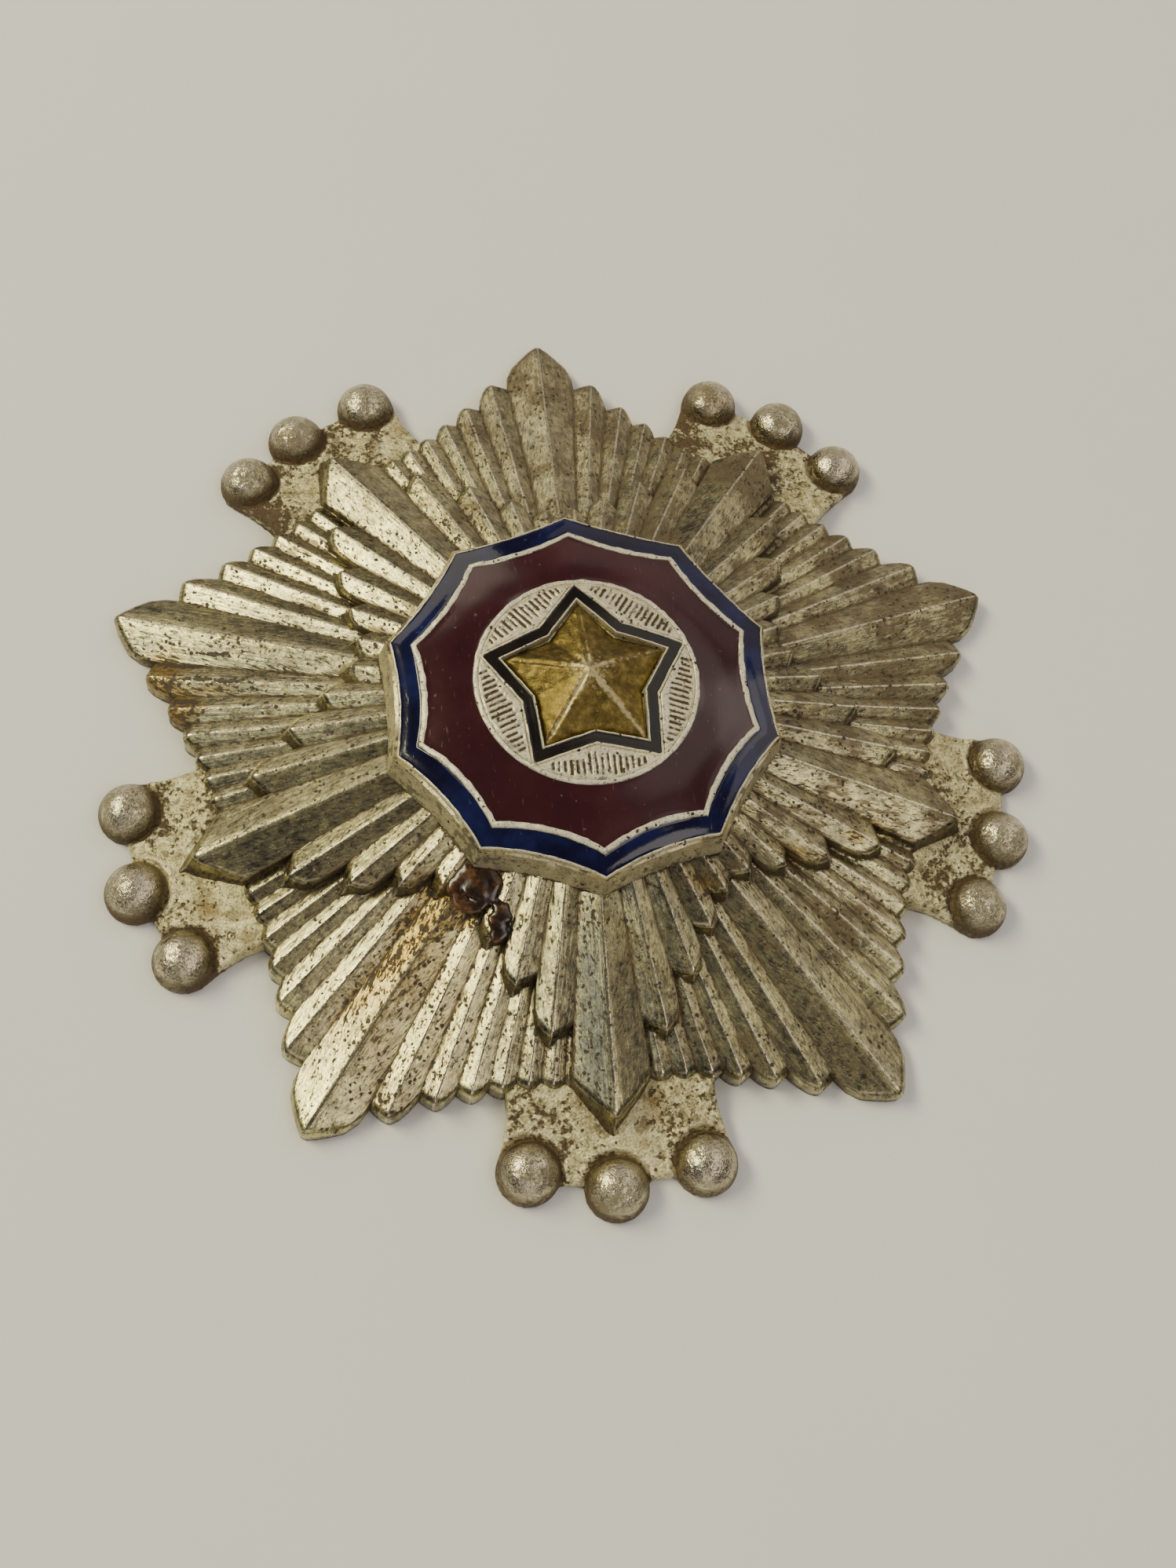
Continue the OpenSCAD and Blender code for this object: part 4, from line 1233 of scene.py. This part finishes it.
def rayRows(tier):
    # One row of attributes for each ray of a tier
    rows = []
    table = tier["rays"]
    for group in range(5):
        first = tier["first"] + 72 * group
        for k, (edge, share) in enumerate(table):
            inner = table[k - 1][0] if k else -edge
            half = (edge - inner) / 2
            following = table[min(k + 1, len(table) - 1)][1]
            for side in ((1,) if k == 0 else (1, -1)):
                length = tier["radius"] * (1 if side > 0 else 1 - starSizes["uneven"])
                near = tier["notch"]
                away = (share - following) * length + tier["notch"]
                if k == 0:
                    near = away = tier["shoulder"]
                # The end walls that face left in the picture lean out most
                middle = first + side * (edge - half)
                drafts = [tier["draft"] + tier["leftDraft"]
                          * max(0, math.cos(math.radians(middle + turned - 175)))
                          for turned in ((-40, 40) if k == 0 else (-25, 25))]
                rows.append({
                    "middle": math.radians(middle),
                    "half": math.radians(half),
                    "tip": share * length * mm,
                    "taper": tier["taper"] * mm if k == 0 else
                    tier["chevron"] * share * length * math.radians(half) * mm,
                    "dropBefore": (near if side > 0 else away) * mm,
                    "dropAfter": (away if side > 0 else near) * mm,
                    "draftBefore": drafts[0],
                    "draftAfter": drafts[1],
                    "power": starSizes["longPower"] if k == 0 else tier["power"],
                    "rise": starSizes["faceFall"] * math.tan(math.radians(half)),
                    "number": float(len(rows)),
                })
    return rows


rays = rayTree()
cover, below = medallion, starSizes["lower"]
# Dirt sits low on the end walls: near the lower tier's crests, or near the ground
feet = {"upper": (below["tipHeight"] + below["fall"] * below["radius"],
                  below["fall"] + starSizes["footSlope"]),
        "lower": (0.0, 0.0)}
for name, (footPeak, footFall) in feet.items():
    tier = starSizes[name]
    longRise = starSizes["faceFall"] * math.tan(math.radians(tier["rays"][0][0]))
    rows = rayRows(tier)
    cover = runTree(name + "Rays", rays, {
        "Columns": tier["columns"], "Rows": tier["rows"], "Levels": tier["levels"],
        "Start radius": starSizes["startRadius"] * mm,
        "Peak": (tier["tipHeight"] + tier["fall"] * tier["radius"]) * mm,
        "Valley fall": tier["fall"] + longRise,
        "Lap": starSizes["lap"] * mm, "Depth": starSizes["depth"] * mm,
        "Crest": tier["crest"], "Point": tier["point"],
        "Edge": tier["edge"] * mm, "Edge drop": tier["edgeDrop"] * mm,
        "Hollowed": tier["hollowed"], "Hollow curve": hollowCurve * mm,
        "Hollow depth": (starSizes["hollowDepth"] + starSizes["roofGap"]) * mm,
        "Foot peak": footPeak * mm, "Foot fall": footFall,
        "Wobble": starSizes["wobble"] * mm, "Seed": tier["seed"],
        "Cover": cover, "Material": raySilver}, [(0, 0, 0)] * len(rows), rows)
    finishPiece(cover, "star_body")
print("rays made")


# Glossy rust run over the ends of two small rays

# The crust follows these places and reaches a radius round them, inside one block of cells
rustSizes = {"places": [(-7.9, -12.3, 5.95), (-8.5, -12.9, 5.75), (-7.8, -13.2, 5.8),
                        (-7.7, -12.5, 5.95), (-7.3, -11.8, 6.05), (-6.95, -12.6, 5.9),
                        (-7.2, -13.4, 5.7), (-7.9, -13.9, 5.5), (-8.7, -13.8, 5.3),
                        (-9.3, -13.2, 5.3), (-9.3, -12.4, 5.6), (-8.4, -11.5, 6.0),
                        (-6.6, -14.2, 5.6), (-6.3, -14.9, 5.5), (-6.9, -15.1, 5.4),
                        (-6.4, -15.8, 5.2), (-7.1, -15.9, 5.1)],
             "radius": 0.64, "flat": 0.4, "lumpy": 0.8, "cell": 0.08,
             "low": (-10.9, -17.2, 3.4), "high": (-5.0, -10.2, 7.0)}


def rustMaterial():
    # Iron rust bound in old lacquer: dark red brown, glossy, orange where it is thin
    material, tree, coords = newMaterial("lacqueredRust")
    clouds = addNode(tree, "ShaderNodeTexNoise", {
        "Vector": coords, "Scale": 800.0, "Detail": 4.0, "Roughness": 0.6}).outputs["Fac"]
    colour = addNode(tree, "ShaderNodeValToRGB", {0: clouds}, stops=[
        (0.4, "#190f09"), (0.66, "#67472a"), (0.54, "#352110")]).outputs[0]
    bump = addNode(tree, "ShaderNodeBump", {
        "Height": clouds, "Strength": 0.35, "Distance": 0.1 * mm})
    shader = addNode(tree, "ShaderNodeBsdfPrincipled", {
        "Base Color": colour, "Roughness": 0.22, "Coat Weight": 0.3,
        "Coat Roughness": 0.12, "Normal": bump.outputs[0]})
    addNode(tree, "ShaderNodeOutputMaterial", {0: shader.outputs[0]})
    return material


def rustTree():
    # Whatever lies within a radius of the places, lumpy and smoothed, is one volume
    tree, inputs, values = newTree("rustGlaze", {
        "Int": ("Cells X", "Cells Y", "Cells Z"),
        "Float": ("Radius", "Lumpy"),
        "Vector": ("Low", "High", "Flat"),
        "Material": ("Material",)})
    spot = addNode(tree, "GeometryNodeInputPosition").outputs[0]
    tall = addNode(tree, "ShaderNodeVectorMath", {0: spot, 1: inputs["Flat"]},
                   operation="DIVIDE").outputs[0]
    near = addNode(tree, "GeometryNodeProximity", {
        0: inputs["Geometry"], "Sample Position": tall}, target_element="POINTS")
    wave = addNode(tree, "ShaderNodeTexNoise", {"Vector": spot, "Scale": 800.0, "Detail": 3.0})
    values["far"], values["wave"] = near.outputs["Distance"], wave.outputs["Fac"]
    addSteps(tree, values, [
        ("waveOff", "SUBTRACT", "wave", 0.5),
        ("reach", "MULTIPLY_ADD", "waveOff", "lumpy", "radius"),
        ("inside", "SUBTRACT", "reach", "far"),
        ("density", "MULTIPLY", "inside", 1000.0),
    ])
    shape = solidWhereDense(tree, inputs, values["density"])
    smooth = addNode(tree, "GeometryNodeBlurAttribute", {
        "Value": addNode(tree, "GeometryNodeInputPosition").outputs[0], "Iterations": 14},
        data_type="FLOAT_VECTOR").outputs[0]
    shape = addNode(tree, "GeometryNodeSetPosition", {
        "Geometry": shape, "Position": smooth}).outputs[0]
    endTree(tree, inputs, shape)
    return tree


places = [Vector(place) for place in rustSizes["places"]]
places = [a.lerp(b, share) for a, b in zip(places, places[1:]) for share in (0, 0.33, 0.67)]
flat = rustSizes["flat"]
rust = runTree("rustCrust", rustTree(), {
    **blockInputs(Vector(rustSizes["low"]), Vector(rustSizes["high"]), rustSizes["cell"]),
    "Radius": rustSizes["radius"] * mm, "Flat": (1, 1, flat),
    "Lumpy": rustSizes["lumpy"] * mm, "Material": rustMaterial()},
    [(p.x * mm, p.y * mm, p.z / flat * mm) for p in places])
finishPiece(rust, "star_body")
print("rust made")


# Plates and balls of the five clusters

clusterSizes = {
    "ballRadius": 2.14, "ballHeight": 0.4, "middleRadius": 32.1, "sideRadius": 31.5, "step": 10.4,
    "plateHeight": 0.8, "plateFall": 0.2, "outerRadius": 31.95,
    "spreadFrom": 28.9, "spread": 0.07,  # the flanks widen inside this radius
    "web": 1.0, "fillet": 0.45, "rough": 0.55, "lip": 0.13, "groove": 0.16,
    "flankIn": 0.004,  # radians
    "cell": 0.15,  # spacing of the volume's cells
    "low": (25.2, -9.9, -0.3), "high": (34.9, 9.9, 2.9),
    # degrees and millimetres by which each cluster's balls sit off their even places
    "shifts": [[(0.16, 0.2), (0.65, -0.12), (-0.4, 0.04)],
               [(0.59, -0.05), (0.58, 0.22), (0.62, -0.09)],
               [(0.16, -0.17), (0.24, 0.15), (0.86, 0.14)],
               [(1.15, -0.2), (1.04, -0.29), (1.32, -0.02)],
               [(0.92, 0.36), (0.79, 0.3), (0.46, 0.12)]],
}


def ballPlaces(k):
    middle = 90 + (k + 0.5) * 72
    places = []
    for j, (turn, out) in enumerate(clusterSizes["shifts"][k]):
        radius = clusterSizes["middleRadius" if j == 1 else "sideRadius"] + out
        places.append((math.radians(middle + (j - 1) * clusterSizes["step"] + turn), radius))
    return places


def clusterTree():
    # Plate and three domes flow into one another, so they are one volume turned to a mesh
    tree, inputs, values = newTree("ballCluster", {
        "Int": ("Cells X", "Cells Y", "Cells Z"),
        "Float": ("Ball radius", "Flank from", "Flank to", "Outer radius", "Plate height",
                  "Plate fall", "Plate radius", "Spread from", "Spread", "Web", "Fillet",
                  "Rough", "Lip", "Groove", "Seed"),
        "Vector": ("Ball 1", "Ball 2", "Ball 3", "Low", "High", "Turn"),
        "Material": ("Material",)})
    spot = addNode(tree, "GeometryNodeInputPosition").outputs[0]
    spot = addNode(tree, "ShaderNodeVectorMath", {0: spot, "Scale": 1000.0},
                   operation="SCALE").outputs[0]
    split = addNode(tree, "ShaderNodeSeparateXYZ", {0: spot})
    values["x"], values["y"], values["z"] = split.outputs[:3]
    for key, scale, detail in (("lumps", 0.5, 2.0), ("hammer", 1.6, 3.0)):
        values[key] = addNode(tree, "ShaderNodeTexNoise", {
            "Vector": spot, "W": inputs["Seed"], "Scale": scale, "Detail": detail},
            noise_dimensions="4D").outputs["Fac"]
    for n in ("1", "2", "3"):
        centre = addNode(tree, "ShaderNodeSeparateXYZ", {0: inputs["Ball " + n]})
        values["cx"], values["cy"], values["cz"] = centre.outputs[:3]
        addSteps(tree, values, [
            ("dx", "SUBTRACT", "x", "cx"),
            ("dy", "SUBTRACT", "y", "cy"),
            ("dzAny", "SUBTRACT", "z", "cz"),
            ("dz", "MAXIMUM", "dzAny", 0.0),
            ("dx2", "MULTIPLY", "dx", "dx"),
            ("flat2", "MULTIPLY_ADD", "dy", "dy", "dx2"),
            ("far2", "MULTIPLY_ADD", "dz", "dz", "flat2"),
            ("far", "SQRT", "far2"),
            ("ball" + n, "SUBTRACT", "far", "ballRadius"),
            ("flat", "SQRT", "flat2"),
            ("beyond" + n, "SUBTRACT", "flat", "ballRadius"),
            ("inwardAny", "DIVIDE", "dx", "ballRadius"),
            ("here", "LESS_THAN", "beyond" + n, 0.05),
            ("inward" + n, "MULTIPLY", "inwardAny", "here"),
        ])
    addSteps(tree, values, [
        ("beyond12", "MINIMUM", "beyond1", "beyond2"),
        ("beyond", "MINIMUM", "beyond12", "beyond3"),
        ("inward12", "ADD", "inward1", "inward2"),
        ("inward123", "ADD", "inward12", "inward3"),
        ("inward", "MULTIPLY", "inward123", -1.0),
        ("x2", "MULTIPLY", "x", "x"),
        ("r2", "MULTIPLY_ADD", "y", "y", "x2"),
        ("r", "SQRT", "r2"),
        ("angle", "ARCTAN2", "y", "x"),
        ("overTo", "SUBTRACT", "angle", "flankTo"),
        ("overFrom", "SUBTRACT", "flankFrom", "angle"),
        ("over", "MAXIMUM", "overTo", "overFrom"),
        ("flankArc", "MULTIPLY", "over", "r"),
        # The flanks run a little hollow, and spread where they meet the rays
        ("inwards", "SUBTRACT", "spreadFrom", "r"),
        ("inwardsLow", "MAXIMUM", "inwards", 0.0),
        ("inwards2", "MULTIPLY", "inwardsLow", "inwardsLow"),
        ("widened", "MULTIPLY", "inwards2", "spread"),
        ("flank", "SUBTRACT", "flankArc", "widened"),
        ("edge", "SUBTRACT", "r", "outerRadius"),
        ("outline", "SMOOTH_MAX", "flank", "edge", "web"),
        # A narrow groove runs round each dome's foot, and outside it a raised lip
        ("grooveAt", "SUBTRACT", "beyond", 0.02),
        ("groove2", "MULTIPLY", "grooveAt", "grooveAt"),
        ("grooveArg", "MULTIPLY", "groove2", -45.0),
        ("grooveOn", "EXPONENT", "grooveArg"),
        ("lipAt", "SUBTRACT", "beyond", 0.42),
        ("lip2", "MULTIPLY", "lipAt", "lipAt"),
        ("lipArg", "MULTIPLY", "lip2", -28.0),
        ("lipOn", "EXPONENT", "lipArg"),
        ("out", "SUBTRACT", "plateRadius", "r"),
        ("plateSlope", "MULTIPLY_ADD", "out", "plateFall", "plateHeight"),
        ("plateLip", "MULTIPLY_ADD", "lipOn", "lip", "plateSlope"),
        ("grooveDeep", "MULTIPLY", "grooveOn", "groove"),
        ("plateGroove", "SUBTRACT", "plateLip", "grooveDeep"),
        ("lumpOff", "SUBTRACT", "lumps", 0.5),
        ("hammerOff", "SUBTRACT", "hammer", 0.5),
        ("uneven", "MULTIPLY_ADD", "hammerOff", 0.7, "lumpOff"),
        ("unevenSized", "MULTIPLY", "uneven", "rough"),
        ("plateTop", "ADD", "plateGroove", "unevenSized"),
        ("over", "SUBTRACT", "z", "plateTop"),
        ("plate", "SMOOTH_MAX", "outline", "over", 0.5),
        ("one", "SMOOTH_MIN", "plate", "ball1", "fillet"),
        ("two", "SMOOTH_MIN", "one", "ball2", "fillet"),
        ("three", "SMOOTH_MIN", "two", "ball3", "fillet"),
        ("dent", "MULTIPLY_ADD", "hammerOff", 0.06, "three"),
        ("under", "MULTIPLY_ADD", "z", -1.0, 0.01),
        ("body", "MAXIMUM", "dent", "under"),
        ("density", "MULTIPLY", "body", -1.0),
    ])
    shape = solidWhereDense(tree, inputs, values["density"])
    for name in ("beyond", "inward"):
        shape = addNode(tree, "GeometryNodeStoreNamedAttribute", {
            "Geometry": shape, "Name": name, "Value": values[name]},
            data_type="FLOAT", domain="POINT").outputs[0]
    shape = addNode(tree, "GeometryNodeTransform", {
        "Geometry": shape, "Rotation": inputs["Turn"]}).outputs[0]
    endTree(tree, inputs, shape)
    return tree


clusterShape = clusterTree()
reach = math.asin(clusterSizes["ballRadius"] / clusterSizes["sideRadius"]) \
    - clusterSizes["flankIn"]
block = blockInputs(Vector(clusterSizes["low"]), Vector(clusterSizes["high"]),
                    clusterSizes["cell"])
for k in range(5):
    middle = math.radians(90 + (k + 0.5) * 72)
    places = ballPlaces(k)
    balls = {"Ball " + str(n + 1): (r * math.cos(a - middle), r * math.sin(a - middle),
                                    clusterSizes["ballHeight"])
             for n, (a, r) in enumerate(places)}
    piece = runTree("cluster" + str(round(math.degrees(middle)) % 360), clusterShape, {
        **block, **balls, "Ball radius": clusterSizes["ballRadius"],
        "Flank from": places[0][0] - middle - reach, "Flank to": places[2][0] - middle + reach,
        "Outer radius": clusterSizes["outerRadius"], "Plate height": clusterSizes["plateHeight"],
        "Plate fall": clusterSizes["plateFall"], "Plate radius": clusterSizes["sideRadius"],
        "Spread from": clusterSizes["spreadFrom"], "Spread": clusterSizes["spread"],
        "Web": clusterSizes["web"], "Fillet": clusterSizes["fillet"],
        "Rough": clusterSizes["rough"], "Lip": clusterSizes["lip"],
        "Groove": clusterSizes["groove"], "Turn": (0, 0, middle), "Seed": 4.0 + k,
        "Material": clusterSilver})
    finishPiece(piece, "star_body")
print("clusters made")


# Back: the smooth hollow with its rim, and the plain pin

def roofHeight(r):
    return max(0, math.sqrt(hollowCurve ** 2 - r * r) - hollowCurve + starSizes["hollowDepth"])


backSizes = {"columns": 180, "eye": 1.5, "rim": 0.15, "thick": 0.35, "rimHeight": 0.3,
             "rimFoot": 0.02, "underRows": 18, "overRows": 12}
evenAngles = [2 * math.pi * i / backSizes["columns"] for i in range(backSizes["columns"])]
outer, eye, thick = starSizes["hollowRadius"], backSizes["eye"], backSizes["thick"]
profile = [(r, roofHeight(r)) for r in np.linspace(eye, outer, backSizes["underRows"])]
profile += [(outer + backSizes["rim"], backSizes[key]) for key in ("rimFoot", "rimHeight")]
profile += [(r, roofHeight(r) + thick) for r in np.linspace(outer, eye, backSizes["overRows"])]
rows = [[spot] * len(evenAngles) for spot in profile]
hollowShell = polarShell("hollowBack", evenAngles, rows, backSilver)
shadeByAngle(hollowShell, 40)
finishPiece(hollowShell, "star_body")

pinSizes = {"length": 33.0, "width": 1.6, "thick": 0.9, "y": 9.2, "clear": 0.5, "boss": 1.7,
            "bevel": 0.15, "roofGap": 0.05}


def pinPiece():
    bm = bmesh.new()
    bar = bmesh.ops.create_cube(bm, size=1)["verts"]
    size = Matrix.Diagonal((pinSizes["length"] * mm, pinSizes["width"] * mm,
                            pinSizes["thick"] * mm, 1))
    lift = Matrix.Translation((0, pinSizes["y"] * mm,
                               (pinSizes["clear"] + pinSizes["thick"] / 2) * mm))
    bmesh.ops.transform(bm, matrix=lift @ size, verts=bar)
    for side in (-1, 1):
        x = side * (pinSizes["length"] / 2 - pinSizes["boss"])
        top = roofHeight(math.hypot(x, pinSizes["y"])) - pinSizes["roofGap"]
        tall = top - pinSizes["clear"]
        boss = bmesh.ops.create_cone(bm, cap_ends=True, segments=48, radius1=pinSizes["boss"] * mm,
                                     radius2=pinSizes["boss"] * mm, depth=tall * mm)["verts"]
        bmesh.ops.translate(bm, verts=boss, vec=(x * mm, pinSizes["y"] * mm,
                                                 (pinSizes["clear"] + tall / 2) * mm))
    edges = [e for e in bm.edges if e.calc_face_angle(0) > 1.0]
    bmesh.ops.bevel(bm, geom=edges, offset=pinSizes["bevel"] * mm, segments=3,
                    affect="EDGES", profile=0.5)
    mesh = bpy.data.meshes.new("broochPin")
    bm.to_mesh(mesh)
    bm.free()
    mesh.materials.append(backSilver)
    piece = addObject("broochPin", mesh)
    shadeByAngle(piece, 40)
    return piece


finishPiece(pinPiece(), "brooch_pin")
print("back made")


# Floor, lights and camera

floorSizes = {"half": 1.0, "sink": 0.00005}  # metres


def paperMaterial():
    # Matt paper: almost white, with very faint clouds
    material, tree, coords = newMaterial("mattPaper")
    clouds = addNode(tree, "ShaderNodeTexNoise", {"Vector": coords, "Scale": 60.0, "Detail": 4.0})
    colour = addNode(tree, "ShaderNodeValToRGB", {0: clouds.outputs["Fac"]}, stops=[
        (0.0, "#f4f3f1"), (1.0, "#f9f8f6")]).outputs[0]
    shader = addNode(tree, "ShaderNodeBsdfPrincipled", {"Base Color": colour, "Roughness": 0.9})
    addNode(tree, "ShaderNodeOutputMaterial", {0: shader.outputs[0]})
    return material


half = floorSizes["half"]
corners = [(-half, -half), (half, -half), (half, half), (-half, half)]
floor = meshObject("paperFloor", [(x, y, -floorSizes["sink"]) for x, y in corners],
                   [[0, 1, 2, 3]], paperMaterial())
floor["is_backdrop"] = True

world = bpy.data.worlds.new("softRoom")
world.use_nodes = True
world.node_tree.nodes["Background"].inputs[0].default_value = hexColour("#928c96")
world.node_tree.nodes["Background"].inputs[1].default_value = 0.3
bpy.context.scene.world = world

lightRows = [
    # name, direction, distance, width, height, turn in degrees, power, colour
    ("windowLight", (-0.655, 0.29, 0.70), 0.6, 0.36, 0.14, 32, 2.75, "#fff8c8"),
    ("lampLight", (0.42, -0.4, 0.82), 0.6, 0.26, 0.26, 0, 0.62, "#fff5e4"),
    ("wallLight", (0.55, 0.78, 0.32), 0.7, 0.7, 0.5, 0, 0.6, "#fff1e0"),
    ("ceilingLight", (0.36, 0.36, 0.86), 0.9, 0.6, 0.6, 0, 0.95, "#fffaf0"),
    ("leftLight", (-0.32, 0.79, 0.52), 0.6, 0.3, 0.2, 0, 0.36, "#fff6e0"),
    ("rightLight", (0.76, 0.21, 0.62), 0.6, 0.3, 0.3, 0, 0.34, "#fff5e2"),
    ("frontLight", (-0.1, -0.85, 0.5), 0.6, 0.4, 0.3, 0, 0.4, "#fff8e8"),
    ("westLight", (-0.585, -0.15, 0.77), 0.6, 0.2, 0.2, 0, 0.2, "#f4fbff"),
]
for name, direction, distance, wide, high, turned, power, colour in lightRows:
    data = bpy.data.lights.new(name, "AREA")
    data.shape = "RECTANGLE"
    data.size, data.size_y, data.energy = wide, high, power
    data.color = hexColour(colour)[:3]
    lamp = addObject(name, data)
    way = Vector(direction).normalized()
    lamp.location = way * distance
    lamp.rotation_mode = "QUATERNION"
    lamp.rotation_quaternion = (-way).to_track_quat("-Z", "Y") \
        @ Quaternion((0, 0, 1), math.radians(turned))

# The camera stands where the photograph's perspective puts it
cameraFit = {
    "place": (-0.016025, -0.050693, 0.112369),
    "right": (0.989752, -0.089597, 0.111190),
    "up": (0.039018, 0.918716, 0.392986),
    "back": (-0.137363, -0.384620, 0.912797),
    "lens": 39.293, "sensor": 36, "near": 0.005, "far": 10,
}
cameraData = bpy.data.cameras.new("camera")
cameraData.sensor_width, cameraData.lens = cameraFit["sensor"], cameraFit["lens"]
cameraData.clip_start, cameraData.clip_end = cameraFit["near"], cameraFit["far"]
camera = addObject("camera", cameraData)
turn = Matrix((cameraFit["right"], cameraFit["up"], cameraFit["back"])).transposed().to_4x4()
camera.matrix_world = Matrix.Translation(cameraFit["place"]) @ turn
bpy.context.scene.camera = camera

low, high = [list(corner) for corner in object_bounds()]
